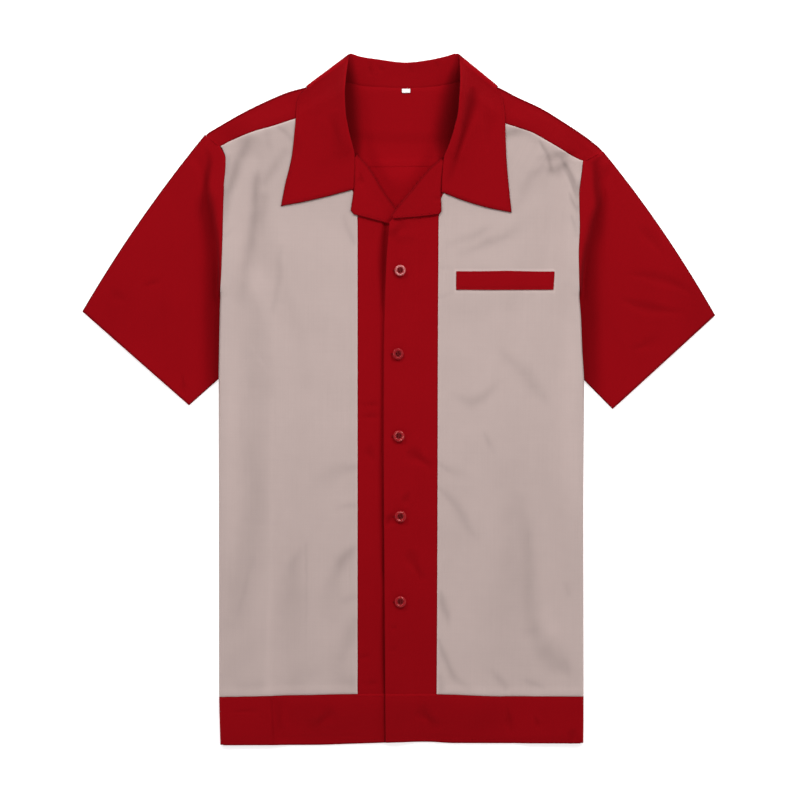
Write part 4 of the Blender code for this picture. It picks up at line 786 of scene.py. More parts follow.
# ---------------------------------------------------------------- materials
def links(nt):
    def add(kind, **values):
        n = nt.nodes.new(kind)
        for key, value in values.items():
            setattr(n, key, value)
        return n

    def math_node(op, a, b=None, c=None, clamp=False):
        n = add("ShaderNodeMath", operation=op, use_clamp=clamp)
        for k, v in enumerate((a, b, c)):
            if v is None:
                continue
            if isinstance(v, (int, float)):
                n.inputs[k].default_value = v
            else:
                nt.links.new(v, n.inputs[k])
        return n.outputs[0]

    def noise(vector, scale, detail=3.0, rough=0.5):
        n = add("ShaderNodeTexNoise", noise_dimensions="3D")
        n.inputs["Scale"].default_value = scale
        n.inputs["Detail"].default_value = detail
        n.inputs["Roughness"].default_value = rough
        nt.links.new(vector, n.inputs["Vector"])
        return n.outputs["Fac"]

    def scaled(vector, factors):
        n = add("ShaderNodeVectorMath", operation="MULTIPLY")
        nt.links.new(vector, n.inputs[0])
        n.inputs[1].default_value = factors
        return n.outputs[0]
    return add, math_node, noise, scaled


def cloth_material(name, colour, thread=0.42, streak=0.05, cloud=0.03, fleck=0.03,
                   roughness=0.85, sheen=0.12, tone_gain=0.16, bump=0.5, tint=(1.0, 1.0, 1.0)):
    """Plain weave on the flat cut: threads, slubs along warp and weft, soft clouds."""
    mat = bpy.data.materials.new(name)
    mat.use_nodes = True
    nt = mat.node_tree
    add, m, noise, scaled = links(nt)
    bsdf = nt.nodes["Principled BSDF"]
    cut = add("ShaderNodeAttribute", attribute_name="cut", attribute_type="GEOMETRY").outputs["Vector"]
    tone = add("ShaderNodeAttribute", attribute_name="tone", attribute_type="GEOMETRY").outputs["Fac"]
    sep = add("ShaderNodeSeparateXYZ")
    nt.links.new(cut, sep.inputs[0])
    k = 2 * math.pi / (2 * thread)
    wx = m("SINE", m("MULTIPLY", sep.outputs[0], k))
    wy = m("SINE", m("MULTIPLY", sep.outputs[1], k))
    weave = m("MULTIPLY", wx, wy)                       # -1 .. 1, checker of crossings
    ribs = m("MULTIPLY", m("ADD", m("ABSOLUTE", wx), m("ABSOLUTE", wy)), 0.5)
    warp = noise(scaled(cut, (1.1, 0.012, 1.0)), 1.0, 3.0, 0.6)
    weft = noise(scaled(cut, (0.015, 1.0, 1.0)), 1.0, 3.0, 0.6)
    soft = noise(cut, 0.022, 2.0, 0.5)
    fine = noise(scaled(cut, (1.0, 1.0, 1.0)), 2.2, 2.0, 0.6)
    total = m("ADD", 1.0, m("MULTIPLY", m("SUBTRACT", warp, 0.5), streak * 2))
    total = m("ADD", total, m("MULTIPLY", m("SUBTRACT", weft, 0.5), streak * 1.5))
    total = m("ADD", total, m("MULTIPLY", m("SUBTRACT", soft, 0.5), cloud * 2))
    total = m("ADD", total, m("MULTIPLY", m("SUBTRACT", fine, 0.5), fleck * 2))
    total = m("ADD", total, m("MULTIPLY", m("SUBTRACT", ribs, 0.64), 0.10))
    # the tone attribute lightens and darkens the colour: painted shade in folds, creases, hollows, seams and along
    # edges, painted shadows, painted highlights beside some seams, and some random tone
    total = m("MAXIMUM", m("ADD", total, m("MULTIPLY", tone, tone_gain)), 0.16)
    scale = add("ShaderNodeVectorMath", operation="SCALE")
    scale.inputs[0].default_value = colour
    nt.links.new(total, scale.inputs["Scale"])
    nt.links.new(scale.outputs[0], bsdf.inputs["Base Color"])
    rough = m("ADD", roughness - 0.04, m("MULTIPLY", fine, 0.08))
    nt.links.new(rough, bsdf.inputs["Roughness"])
    bsdf.inputs["Sheen Weight"].default_value = sheen
    bsdf.inputs["Sheen Roughness"].default_value = 0.5
    bsdf.inputs["Sheen Tint"].default_value = tint + (1,)
    bsdf.inputs["Specular IOR Level"].default_value = 0.14
    bsdf.inputs["Specular Tint"].default_value = tint + (1,)
    height = m("ADD", m("MULTIPLY", weave, 0.35), m("MULTIPLY", ribs, 0.5))
    height = m("ADD", height, m("MULTIPLY", warp, 0.8))
    height = m("ADD", height, m("MULTIPLY", weft, 0.8))
    height = m("ADD", height, m("MULTIPLY", noise(cut, 0.16, 3.0, 0.5), 3.0))
    node = add("ShaderNodeBump")
    node.inputs["Strength"].default_value = bump
    node.inputs["Distance"].default_value = 0.00006
    nt.links.new(height, node.inputs["Height"])
    nt.links.new(node.outputs[0], bsdf.inputs["Normal"])
    return mat


def button_material(name, dark, light, roughness, gloss, coat=0.0, coat_ior=1.5):
    """Polyester resin, swirled dark and light red."""
    mat = bpy.data.materials.new(name)
    mat.use_nodes = True
    nt = mat.node_tree
    add, m, noise, scaled = links(nt)
    bsdf = nt.nodes["Principled BSDF"]
    tex = add("ShaderNodeTexCoord")
    swirl = noise(scaled(tex.outputs["Object"], (1.0, 2.0, 1.0)), 190.0, 2.0, 0.5)
    ramp = add("ShaderNodeValToRGB")
    ramp.color_ramp.elements[0].position, ramp.color_ramp.elements[1].position = 0.3, 0.75
    ramp.color_ramp.elements[0].color = dark + (1,)
    ramp.color_ramp.elements[1].color = light + (1,)
    nt.links.new(swirl, ramp.inputs[0])
    nt.links.new(ramp.outputs[0], bsdf.inputs["Base Color"])
    rough = m("ADD", roughness, m("MULTIPLY", noise(tex.outputs["Object"], 700.0), 0.06))
    nt.links.new(rough, bsdf.inputs["Roughness"])
    bsdf.inputs["Specular IOR Level"].default_value = gloss
    bsdf.inputs["Specular Tint"].default_value = (1.0, 0.55, 0.50, 1)
    bsdf.inputs["Coat Weight"].default_value = coat
    bsdf.inputs["Coat IOR"].default_value = coat_ior
    bsdf.inputs["Coat Roughness"].default_value = 0.28
    return mat


def thread_material(name, colour):
    """Spun sewing thread, darker between its plies."""
    mat = bpy.data.materials.new(name)
    mat.use_nodes = True
    nt = mat.node_tree
    add, m, noise, scaled = links(nt)
    bsdf = nt.nodes["Principled BSDF"]
    tex = add("ShaderNodeTexCoord")
    ply = noise(scaled(tex.outputs["Object"], (1.0, 1.0, 1.0)), 2600.0, 2.0, 0.6)
    scale = add("ShaderNodeVectorMath", operation="SCALE")
    scale.inputs[0].default_value = colour
    nt.links.new(m("ADD", 0.75, m("MULTIPLY", ply, 0.5)), scale.inputs["Scale"])
    nt.links.new(scale.outputs[0], bsdf.inputs["Base Color"])
    bsdf.inputs["Roughness"].default_value = 0.75
    bsdf.inputs["Specular IOR Level"].default_value = 0.15
    bsdf.inputs["Specular Tint"].default_value = (1.0, 0.10, 0.14, 1)
    return mat


RED = (0.249, 0.0021, 0.0049)
CREAM = (0.468, 0.368, 0.345)
MATERIALS = {
    "red_cotton": cloth_material("red_cotton", RED, streak=0.035, cloud=0.03, sheen=0.06,
                                 roughness=0.86, tint=(1.0, 0.10, 0.14)),
    "cream_cotton": cloth_material("cream_cotton", CREAM, streak=0.045, cloud=0.03, sheen=0.05,
                                   roughness=0.9),
    "white_tape": cloth_material("white_tape", (0.80, 0.79, 0.78), thread=0.3, streak=0.03),
    "red_button": button_material("red_button", (0.270, 0.005, 0.010), (0.330, 0.010, 0.016),
                                  0.11, 0.60),
    # copies of red_button: the top one glossier and painted lighter, the next rougher and painted darker, standing
    # in for how each catches the light
    "bright_button": button_material("bright_button", (0.300, 0.010, 0.014),
                                     (0.380, 0.022, 0.028), 0.28, 1.0, 0.60, 1.9),
    "dull_button": button_material("dull_button", (0.240, 0.005, 0.010), (0.290, 0.009, 0.015),
                                   0.24, 0.30),
    # the dish and holes: painted darker as shade in the hollow, and rougher
    "button_cup_painted_shade": button_material("button_cup_painted_shade", (0.120, 0.003, 0.005), (0.170, 0.006, 0.009),
                                  0.62, 0.25),
    "red_thread": thread_material("red_thread", (0.235, 0.0030, 0.0060)),
    "dark_thread": thread_material("dark_thread", (0.10, 0.004, 0.006)),
}


# ---------------------------------------------------------------- body panels
FOLD_OUT = np.radians([22.5, 45.0, 67.5, 90.0])
FOLD_IN = np.radians([112.5, 135.0, 157.5, 180.0])
STRIP = np.linspace(0.08, 1.0, 12)


def side_columns(side, y_row, x, y, z, layer, z_low):
    """Adds the bend round the turned-under side and the strip below to a grid."""
    s = SIGN[side]
    rx = FRONT_BEND if layer == "front" else BACK_BEND
    xc, zt = x[:, -1], z[:, -1]
    yl = y[:, -1]
    k = S((120.0 - y_row) / 10.0)
    zc, rz = (zt + z_low) / 2, (zt - z_low) / 2
    cols = []
    for a in FOLD_OUT:
        f = a / (math.pi / 2)
        xs = mix(xc, edge_x[side](y_row) - s * SEAM, f)
        zs = zt - (0.55 if layer == "front" else 0.0) * S(f)
        cols.append((mix(xs, xc + s * rx * math.sin(a), k), yl, mix(zs, zc + rz * math.cos(a), k)))
    for a in FOLD_IN:
        cols.append((xc + s * rx * math.sin(a), yl, zc + rz * math.cos(a)))
    w = strip_width(y_row)
    join = PITCH / 2 - CLOTH * 0.35
    for f in STRIP:
        cols.append((xc - s * w * f, yl, z_low + 0 * w))
    up = join if layer == "front" else -join
    cols.append((xc - s * (w + 0.4), yl, z_low + 0.4 * up))
    cols.append((xc - s * (w + 0.6), yl, z_low + up))
    extra = np.stack([np.stack(np.broadcast_arrays(*c), 1) for c in cols], 1)
    main = np.stack([x, y, z], 2)
    return np.concatenate([main, extra], 1)


def fold_keep(rows, cols, y_row, main):
    """Cells of a folded panel: no strip above the level where the side goes under."""
    keep = np.ones((rows - 1, cols - 1), bool)
    bare = y_row[:-1] > TUCK_START + 3
    keep[np.ix_(bare, np.arange(cols - 1) >= main + len(FOLD_OUT) - 1)] = False
    return keep


def front_detail(side, x, y):
    s_edge = np.abs(edge_x[side](y) - x)
    d_placket = np.where(y < 262, np.abs(placket_x[side](y) - x), 50.0)
    d_yoke = np.maximum(yoke_seam_y(x) - y, 0)
    d_band = np.maximum(y - band_seam_y(x), 0)
    d_arm = np.where(y > TUCK_START, s_edge, 60.0)
    d = np.minimum(np.minimum(d_placket, d_yoke), np.minimum(d_band, d_arm))
    height, shade = folds(x, y, side)
    z = height + seam_roll(d)
    z = z + pucker(y, d_placket, 11) + pucker(x, d_yoke, 12) + pucker(x, d_band, 13)
    z = z + pucker(y, d_arm, 14, 13, 7, 0.25)
    d_light = np.minimum(np.minimum(d_placket, d_band), d_arm)
    # painted shade of the folds, and painted highlights: thin light lines beside the placket, band, armhole and
    # yoke seams
    tone = shade * S((d + 1.0) / 3.0) + np.maximum(1.4 * hump(d_light, 1.15), 0.9 * hump(d_yoke, 1.1))
    # painted light: lighter from the middle down against the lamps' falloff towards the hem, a little lighter
    # across the middle and darker towards the yoke
    tone = tone + 0.3 * S((-40 - y) / 260.0) - (0.08 if side == RIGHT else -0.12) * S((-175.0 - y) / 80.0)
    tone = tone + 0.20 * hump(y + 20.0, 110.0)
    tone = tone - 0.30 * S((y - 170.0) / 80.0)
    tone = tone + 0.07 * waves(x, y, 55, 96) + 0.05 * waves(x, y, 21, 97)
    # painted shade along the turned-under side edge
    tone = tone - 2.4 * hump(s_edge, 1.1) * S((20.0 - y) / 6.0)
    if side == LEFT:
        dx = np.maximum(np.maximum(WELT["x0"] - x, x - WELT["x1"]), 0)
        dy = np.maximum(np.maximum(WELT["bottom"] - y, y - WELT["top"]), 0)
        dw = np.hypot(dx, dy)
        z = z - 0.12 * hump(dw, 3.0) + pucker(x, dw, 15, 11, 5, 0.15)
        # painted highlight: a thin light line round the welt
        tone = tone + 1.5 * hump(dw - 0.9, 1.0) * (dw > 0)
    return z, tone


def front_panel(side):
    s = SIGN[side]
    rows = [(a, b, c, max(1.0 - 0.3 * k, 0.0)) for k, (a, b, c) in enumerate(FRONT_ROWS[side])]
    rows += [(y, y, float(placket_x[side](y)), 0.0) for y in BODY_ROWS]
    run = [0.0]
    for p, q in zip(rows, rows[1:]):
        run.append(run[-1] + (abs(p[0] - q[0]) + abs(p[1] - q[1])) / 2)
    keyed = [(r,) + row for r, row in zip(run, rows)]
    v = spaced(run[-1], 2.5) * run[-1]
    yo, yi, xi, bow_k = (curve(keyed, 0, c)(v)[:, None] for c in (1, 2, 3, 4))
    f = spaced(150.0, 1.3, True, False)[None, :]
    x_in = xi + s * SEAM
    x = mix(x_in, bend_x(side, yo), f)
    xe = edge_x[side](yo)
    t = np.clip((x - xe) / (x_in - xe), 0, 1)
    y0, y1, x1 = FRONT_ROWS[side][0]
    x_corner = edge_x[side](y0)
    bow = yoke_seam_y(x) - mix(y0, y1, np.clip((x - x_corner) / (x1 - x_corner), 0, 1))
    y = mix(yo, yi, t) + bow_k * bow
    y = y + S((-250 - y) / 68.0) * (band_seam_y(x) + 318.0)
    y[0] -= SEAM
    y[-1] += SEAM
    detail, tone = front_detail(side, x, y)
    z = clear(front_z(x, y) + detail, back_z(x, y) + CLOTH + 0.1)
    yr = yo[:, 0]
    P = side_columns(side, yr, x, y, z, "front", BASE + tuck_lift(yr) - 2 * PITCH)
    extra = P.shape[1] - x.shape[1]
    tone = np.concatenate([tone, np.repeat(tone[:, -1:], extra, 1)], 1)
    u = np.concatenate([np.zeros((len(yr), 1)),
                        np.cumsum(np.linalg.norm(np.diff(P[..., ::2], axis=1), axis=2), 1)], 1)
    cut = np.stack([u, P[..., 1], 0 * u], 2)
    solid("front_panel_cloth_" + side, P, "cream_cotton", "front_panel_" + side,
          mask=fold_keep(*P.shape[:2], yr, x.shape[1]), cut=cut, tone=tone)


def back_rows(ys, y_of, name, node, step, detail):
    """Back panel or band: rows across the whole body, folded at both sides."""
    yr = np.asarray(ys, float)
    xr, xl = bend_x(RIGHT, yr)[:, None], bend_x(LEFT, yr)[:, None]
    n = int(392 / step)
    half = []
    for side, a, b in ((RIGHT, 4.0, xr), (LEFT, 4.0, xl)):
        f = np.linspace(0, 1, n // 2)[None, :]
        x = mix(a, b, f)
        y = y_of(yr[:, None], x)
        z = back_z(x, y) + detail(x, y)
        low = BASE + tuck_lift(yr) - PITCH
        half.append(side_columns(side, yr, x, y, z, "back", low))
        main = x.shape[1]
    cols = half[0].shape[1]
    P = np.concatenate([half[0][:, ::-1], half[1][:, 1:]], 1)
    k = fold_keep(len(yr), cols, yr, main)
    keep = np.concatenate([k[:, ::-1], k], 1)
    u = np.concatenate([np.zeros((len(yr), 1)),
                        np.cumsum(np.linalg.norm(np.diff(P[..., ::2], axis=1), axis=2), 1)], 1)
    return P, keep, np.stack([u, P[..., 1], 0 * u], 2)


def back_body():
    top, low = YOKE_BACK_SEAM_Y, -318.0
    ys = mix(top, low, spaced(top - low, 4.2))

    def y_of(y, x):
        y = y + S((-250 - y) / 68.0) * (band_seam_y(x) + 318.0)
        y = np.broadcast_to(y, np.broadcast_shapes(y.shape, x.shape)).copy()
        y[0] -= SEAM
        y[-1] += SEAM
        return y

    def detail(x, y):
        inside = S(puff(x, y) / 2.5)
        return np.maximum(creases(x, y, "underside"), -0.05) * inside \
            + 0.25 * hump(np.abs(YOKE_BACK_SEAM_Y - y), 6) * 0
    P, keep, cut = back_rows(ys, y_of, "back", "back_body", 4.2, detail)
    # painted shade of the neck hollow on the back
    tone = np.where(P[..., 1] > 190, neck_shade(P[..., 0], P[..., 1]), 0.0)
    solid("back_body_cloth", P, "red_cotton", "back_body", mask=keep, cut=cut, tone=tone)


def turn_under(P, radius, back, steps=5, into=-1.0):
    """Adds a turned-in hem to the last column: a half bend and a flat return."""
    keep = np.ones((P.shape[0] - 1, P.shape[1] - 1), bool)
    N, _ = surface_frame(P, keep, False)
    n = N[:, -1] * np.sign(N[:, -1, 2:3] + 1e-9)
    o = P[:, -1] - P[:, -3]
    o -= n * (o * n).sum(1, keepdims=True)
    o /= np.linalg.norm(o, axis=1, keepdims=True)
    cols = []
    for a in np.linspace(0, math.pi, steps + 1)[1:]:
        cols.append(P[:, -1] + o * radius * math.sin(a) + into * n * radius * (1 - math.cos(a)))
    for b in (0.35, 0.7, 1.0):
        cols.append(cols[steps - 1] - o * back * b)
    return np.concatenate([P, np.stack(cols, 1)], 1)


def hem_bands():
    v = spaced(52.0, 2.0)
    ys = mix(-318.2, -374.0, v)

    def y_of(y, x):
        t = (y + 318.2) / (-374.0 + 318.2)
        return mix(band_seam_y(x) - SEAM, hem_y(x), t)
    P, keep, cut = back_rows(ys, y_of, "band", "band_back", 4.0,
                             lambda x, y: 0 * x)
    P[..., 1] += 0.9 * S((-340 - P[..., 1]) / 34.0)        # a little shorter than the front
    solid("band_back_cloth", P, "red_cotton", "band_back", mask=keep, cut=cut)
    for side in SIGN:
        s = SIGN[side]
        yr = ys[:, None]
        lead = (UNDER_EDGE_X + 0 * yr) if side == RIGHT else overlap_x(yr)
        width = abs(float(bend_x(side, -346.0)) - float(lead[0, 0]))
        f = spaced(width, 1.5, True, False)[None, :]
        x = mix(lead, bend_x(side, yr), f)
        y = y_of(yr, x)
        base = front_z(x, y) if side == RIGHT else over_z(x, y)
        d_top = np.maximum(band_seam_y(x) - y, 0)
        d_hem = np.maximum(y - hem_y(x), 0)
        joined = S(s * (placket_x[side](y) - x) / 1.5)      # below the front band
        z = base + creases(x, y, "bands") + seam_dip(d_top) * (1 - 0.7 * joined)
        z = z + 0.35 * S((46 - d_top) / 3) * S((d_top - 1.0) / 2.0)
        z = z - 0.16 * hump(d_hem - 3.0, 0.8) - 0.12 * hump(d_top - 2.8, 0.8)
        z = z + pucker(x, d_top, 21, 8, 4, 0.12) + pucker(x, d_hem, 22, 9, 5, 0.14)
        z = clear(z, back_z(x, y) + CLOTH + 0.05)
        if side == LEFT:
            P0 = np.stack([x, y, z], 2)
            P0 = turn_under(P0[:, ::-1], 0.65, 9.0)[:, ::-1]
            x, y, z = P0[..., 0], P0[..., 1], P0[..., 2]
        joined = S(s * (placket_x[side](y) - x) / 1.5)
        # painted shade and light: a dark line at the band seam, turning to a painted light line below the front
        # band; the painted shadow beside the overlapping edge; darker hem and side edges; shade in the creases;
        # random tone
        tone = ((-2.2 + 3.2 * joined) * hump(np.maximum(band_seam_y(x) - y, 0), 1.1)
                + lap_shade(x, y) * (side == RIGHT)
                - 2.0 * hump(np.maximum(y - hem_y(x), 0), 1.0)
                - 2.0 * hump(edge_x[LEFT](y) - x, 1.0) - 2.0 * hump(edge_x[RIGHT](y) - x, 1.0)
                + 0.5 * np.minimum(creases(x, y, "bands"), 0) + 0.06 * waves(x, y, 40, 99))
        P = side_columns(side, ys, x, y, z, "front", BASE + tuck_lift(ys) - 2 * PITCH)
        tone = np.concatenate([tone, np.repeat(tone[:, -1:], P.shape[1] - x.shape[1], 1)], 1)
        P = turn_under(P.transpose(1, 0, 2), 0.55, 7.0).transpose(1, 0, 2)
        tone = np.concatenate([tone, np.repeat(tone[-1:], P.shape[0] - len(ys), 0)], 0)
        keep = np.ones((P.shape[0] - 1, P.shape[1] - 1), bool)
        keep[len(ys) - 1:, x.shape[1] - 1:] = False         # none where the side is tucked under
        solid("band_front_cloth_" + side, P, "red_cotton", "band_front_" + side, mask=keep,
              tone=tone)
        PIECES["band_front_cloth_" + side]["rows"] = len(ys)


def placket(side):
    """Front band, from the lapel's fold line down to the hem band."""
    if side == RIGHT:
        x0, x1 = -44.7 + SEAM, UNDER_EDGE_X
        f = spaced(x1 - x0, 1.3)[None, :]
        nominal = mix(x0, x1, f)
    else:
        x0, x1 = 44.2, -12.9
        f = spaced(x0 - x1, 1.3)[None, :]
        nominal = mix(x0, x1, f)
    top = fold_y[side](nominal) - 0.7
    v = spaced(540.0, 2.5)[:, None]
    y = mix(top, band_seam_y(nominal) + SEAM, v)
    if side == RIGHT:
        x = nominal - 6.2 * S((y - 213) / 13) * (1 - f) ** 2
    else:
        x = mix(placket_x[side](y) - SEAM + 5.6 * S((y - 211) / 13), overlap_x(y), f)
    base = front_z(x, y) if side == RIGHT else over_z(x, y)
    d_seam = np.abs(placket_x[side](y) - x)
    d_band = np.maximum(y - band_seam_y(x), 0)
    z = base + creases(x, y, "placket_" + side) + seam_dip(d_seam) + 0.3 * seam_dip(d_band)
    z = z + pucker(y, d_seam, 31, 10, 4, 0.10)
    # painted shade: a dark line along the seam and in the creases; a painted light line at the band seam; the
    # painted shadow beside the overlapping edge; then a little lighter overall and across the middle, darker low
    # down
    tone = -2.2 * hump(d_seam, 1.1) + 0.5 * np.minimum(creases(x, y, "placket_" + side), 0)
    tone = tone + 0.8 * hump(d_band, 1.1) + (lap_shade(x, y) if side == RIGHT else 0.0)
    tone = tone + 0.05 * waves(x, y, 48, 98) + 0.12 + 0.16 * hump(y + 10.0, 110.0) - 0.25 * S((-160 - y) / 100.0)
    if side == LEFT:
        d_edge = np.abs(x - overlap_x(y))
        z = z + pucker(y, d_edge, 32, 22, 7, 0.22) - 0.35 * hump(d_edge, 2.0)
        for bx, by in BUTTONS:
            r = np.hypot(x - bx, (y - by) * 1.2)
            z = z - 0.55 * hump(r, 8.0)
    z = clear(z, back_z(x, y) + CLOTH + 0.1)
    P = np.stack([x, y, z], 2)
    if side == LEFT:
        P = turn_under(P, 0.65, 9.0)
        tone = np.concatenate([tone, np.repeat(tone[:, -1:], P.shape[1] - x.shape[1], 1)], 1)
    cut = arc_coords(P)
    cut[..., 1] = P[..., 1]
    solid("placket_cloth_" + side, P, "red_cotton", "placket_" + side, cut=cut, tone=tone)


def along_table(table, step):
    """Rows of a table joined by straight lines, with stations at every row."""
    table = np.asarray(table, float)
    run = np.concatenate([[0], np.cumsum(np.hypot(*np.diff(table[:, 2:4], axis=0).T)
                                         + np.hypot(*np.diff(table[:, 0:2], axis=0).T))]) / 2
    keys = []
    for a, b in zip(run, run[1:]):
        n = max(1, int(round((b - a) / step)))
        keys += list(np.linspace(a, b, n, endpoint=False))
    keys = np.array(keys + [run[-1]])
    return np.stack([np.interp(keys, run, table[:, c]) for c in range(4)], 1)


def lapel(side):
    rows = along_table(LAPEL[side], 1.4)
    fx, fy, ox, oy = (rows[:, c][:, None] for c in range(4))
    t = spaced(34.0, 1.3)[::-1][None, :]                  # 1 at the outer edge, 0 at the fold
    x, y = mix(fx, ox, t), mix(fy, oy, t)
    base = front_z(x, y) if side == RIGHT else over_z(x, y)
    width = np.hypot(fx - ox, fy - oy)
    d_fold, d_out = width * t, width * (1 - t)
    z = base + LAPEL_REST + creases(x, y, "lapel")
    z = z + 0.9 * hump(d_fold, 7.0) * S(width / 20.0)
    z = z - 0.14 * hump(d_out - 2.6, 0.7) + pucker(y + x, d_out, 41, 9, 4, 0.10)
    if side == LEFT:
        z = z + 0.25
    P = np.stack([x, y, z], 2)
    P = turn_under(P, 0.75, 1.2)
    # painted shade in the creases, along the outer edge and along the fold
    tone = 0.5 * np.minimum(creases(x, y, "lapel"), 0) - 2.6 * hump(d_out, 1.1) - 1.6 * hump(d_fold, 0.9)
    tone = tone - (0.25 if side == LEFT else 0.0)
    tone = np.concatenate([tone, np.repeat(tone[:, -1:], P.shape[1] - x.shape[1], 1)], 1)
    solid("lapel_cloth_" + side, P, "red_cotton", "lapel_" + side, thick=LAPEL_WALL * 0.85,
          tone=tone)


# ---------------------------------------------------------------- yoke
TIP_IN = {RIGHT: 1.3, LEFT: 0.6}       # of the yoke's point, from the armhole's end


def yoke():
    r, rx = PITCH / 2, 1.1
    wrap_b = {RIGHT: [-168, -142, -116, -92, -64], LEFT: [172, 147, 122, 98, 74]}
    wrap_s = {RIGHT: [-182, -153, -125, -100, -70.2], LEFT: [188, 160, 132, 106, 81.4]}
    wrap_f = {RIGHT: [-171.0, -146.0, -119.0, -92.0, -64.5],
              LEFT: [180.0, 156.0, 128.0, 100.0, 72.0]}
    blocks, flags = [], []
    n_wrap, n_neck = 56, 62
    for part in (RIGHT, "neck", LEFT):
        if part == "neck":
            t = np.linspace(0, 1, n_neck + 1)[1:-1]
            xb = mix(-64.0, 74.0, t)
            xs = mix(-70.2, 81.4, t)
            blocks.append(np.stack([xb, xs, 0 * xs, 0 * xs, 0 * xs], 1))
            flags += [False] * len(t)
            continue
        s = SIGN[part]
        tip_y = EDGE[part][-1][0] - TIP_IN[part]
        k = np.arange(6.0)
        xb = [float(edge_x[part](251.15)) - s * SEAM] + wrap_b[part]
        xs = [float(edge_x[part](tip_y)) - s * SEAM] + wrap_s[part]
        xf = [YOKE_SEAM[0][0] if part == RIGHT else YOKE_SEAM[-1][0]] + wrap_f[part]
        t = np.linspace(0, 5, n_wrap)
        cols = [curve(list(zip(k, v)))(t) for v in (xb, xs, xf)]
        block = np.stack(cols + [np.clip(1 - t, 0, 1) ** 1.5, np.full(n_wrap, s)], 1)
        blocks.append(block if part == RIGHT else block[::-1])
        flags += [True] * n_wrap
    table = np.concatenate(blocks)
    flags = np.array(flags)
    xb, xs, xf, outer, sgn = (table[:, c][:, None] for c in range(5))
    # the outermost column follows the armhole
    tip = {s: EDGE[s][-1][0] - TIP_IN[s] for s in SIGN}
    y_wrap = shoulder_y(xs) - CLOTH / 2 - rx
    y_tip = np.where(sgn < 0, tip[RIGHT], tip[LEFT])
    y_wrap = mix(y_wrap, y_tip, (outer > 0.999) * 1.0)
    y_top = np.where(flags[:, None], y_wrap, back_neck_y(xs))
    f = spaced(90.0, 2.4)[None, :]
    y = mix(YOKE_BACK_SEAM_Y + SEAM, y_top, f)
    x = mix(xb, xs, f)
    y_o = {s: mix(YOKE_BACK_SEAM_Y + SEAM, tip[s], f) for s in SIGN}
    for s in SIGN:
        true = edge_x[s](y_o[s]) - SIGN[s] * SEAM
        straight = mix(float(edge_x[s](251.15)) - SIGN[s] * SEAM,
                       float(edge_x[s](tip[s])) - SIGN[s] * SEAM, f)
        x = x + np.where(sgn == SIGN[s], outer * (true - straight), 0)
    d_seam = np.maximum(y - YOKE_BACK_SEAM_Y, 0)
    d_neck = np.where(flags[:, None], 40.0, np.maximum(back_neck_y(x) - y, 0))
    z = back_z(x, y) + 0.28 * S((9 - d_seam) / 2) * S((d_seam - 0.2) / 1.0)
    z = z + 0.16 * waves(x, y, 70, 51) * hump(x, 60) * 0.6 + pucker(x, d_neck, 52, 12, 5, 0.12)
    back_part = np.stack([x, y, z], 2)
    z_low = z[:, -1:]
    zc = z_low + r
    turn = []
    for a in np.radians([30, 60, 90, 120, 150]):
        turn.append(np.stack([xs, y_top + rx * math.sin(a), zc - r * math.cos(a)], 2))
    g = spaced(42.0, 1.6)[None, :]
    xq = mix(xs, xf, g)
    yq = mix(y_top, yoke_seam_y(xf) + SEAM, g)
    gap = np.maximum(yq - yoke_seam_y(xq), 0)
    zf = front_z(xq, yq)
    zf = mix(zc + r, zf, S(g * 42 / 3.0)) + seam_dip(gap) + pucker(xq, gap, 53, 10, 4, 0.1)
    zf = zf + 0.5 * S(g * 3) * S((1 - g) * 3) + 0.3 * waves(xq, yq, 40, 54) * S(g * 3) * S((1 - g) * 3)
    front_part = np.stack([xq, yq, zf], 2)
    P = np.concatenate([back_part] + turn + [front_part], 1)
    nb = back_part.shape[1]
    keep = np.ones((P.shape[0] - 1, P.shape[1] - 1), bool)
    both = flags[:-1] & flags[1:]
    keep[np.ix_(~both, np.arange(P.shape[1] - 1) >= nb - 1)] = False
    d_front = np.concatenate([np.full((len(P), P.shape[1] - g.shape[1]), 50.0), gap], 1)
    # dark lines at the front seam and along the shoulder fold are painted shade, as is the neck hollow; the part
    # on the front is a little darker overall; a painted light line along the armhole end covers the shadow between
    # yoke and sleeve
    tone = -2.2 * hump(d_front, 1.1) - (0.6 + 0.1 * (sgn > 0)) * (d_front < 49.0)
    tone[:, :nb] += neck_shade(x, y) * (np.abs(x) < 80)
    edge = np.concatenate([np.full((len(P), P.shape[1] - g.shape[1]), 0.0), g * 42.0 + 0 * xq], 1)
    tone = tone - 2.2 * hump(edge, 1.1) * (np.arange(P.shape[1]) >= nb)[None, :]
    tone = tone + (1.4 + 0.1 * (sgn > 0)) * hump((1 - outer ** (2 / 3)) * 26.0, 1.2)
    cut = arc_coords(P)
    cut[..., 1] = P[..., 0]
    solid("yoke_cloth", P, "red_cotton", "yoke", mask=keep, cut=cut, tone=tone)


# ---------------------------------------------------------------- collar
ROLL = 1.3
FALL_STATIONS = [0.18, 0.40, 0.68, 1.0]


def fall_base(x, y):
    """Middle of the collar's fall where it lies on the front."""
    return float(front_z(x, y)) + CLOTH / 2 + COLLAR_WALL / 2 + 0.25


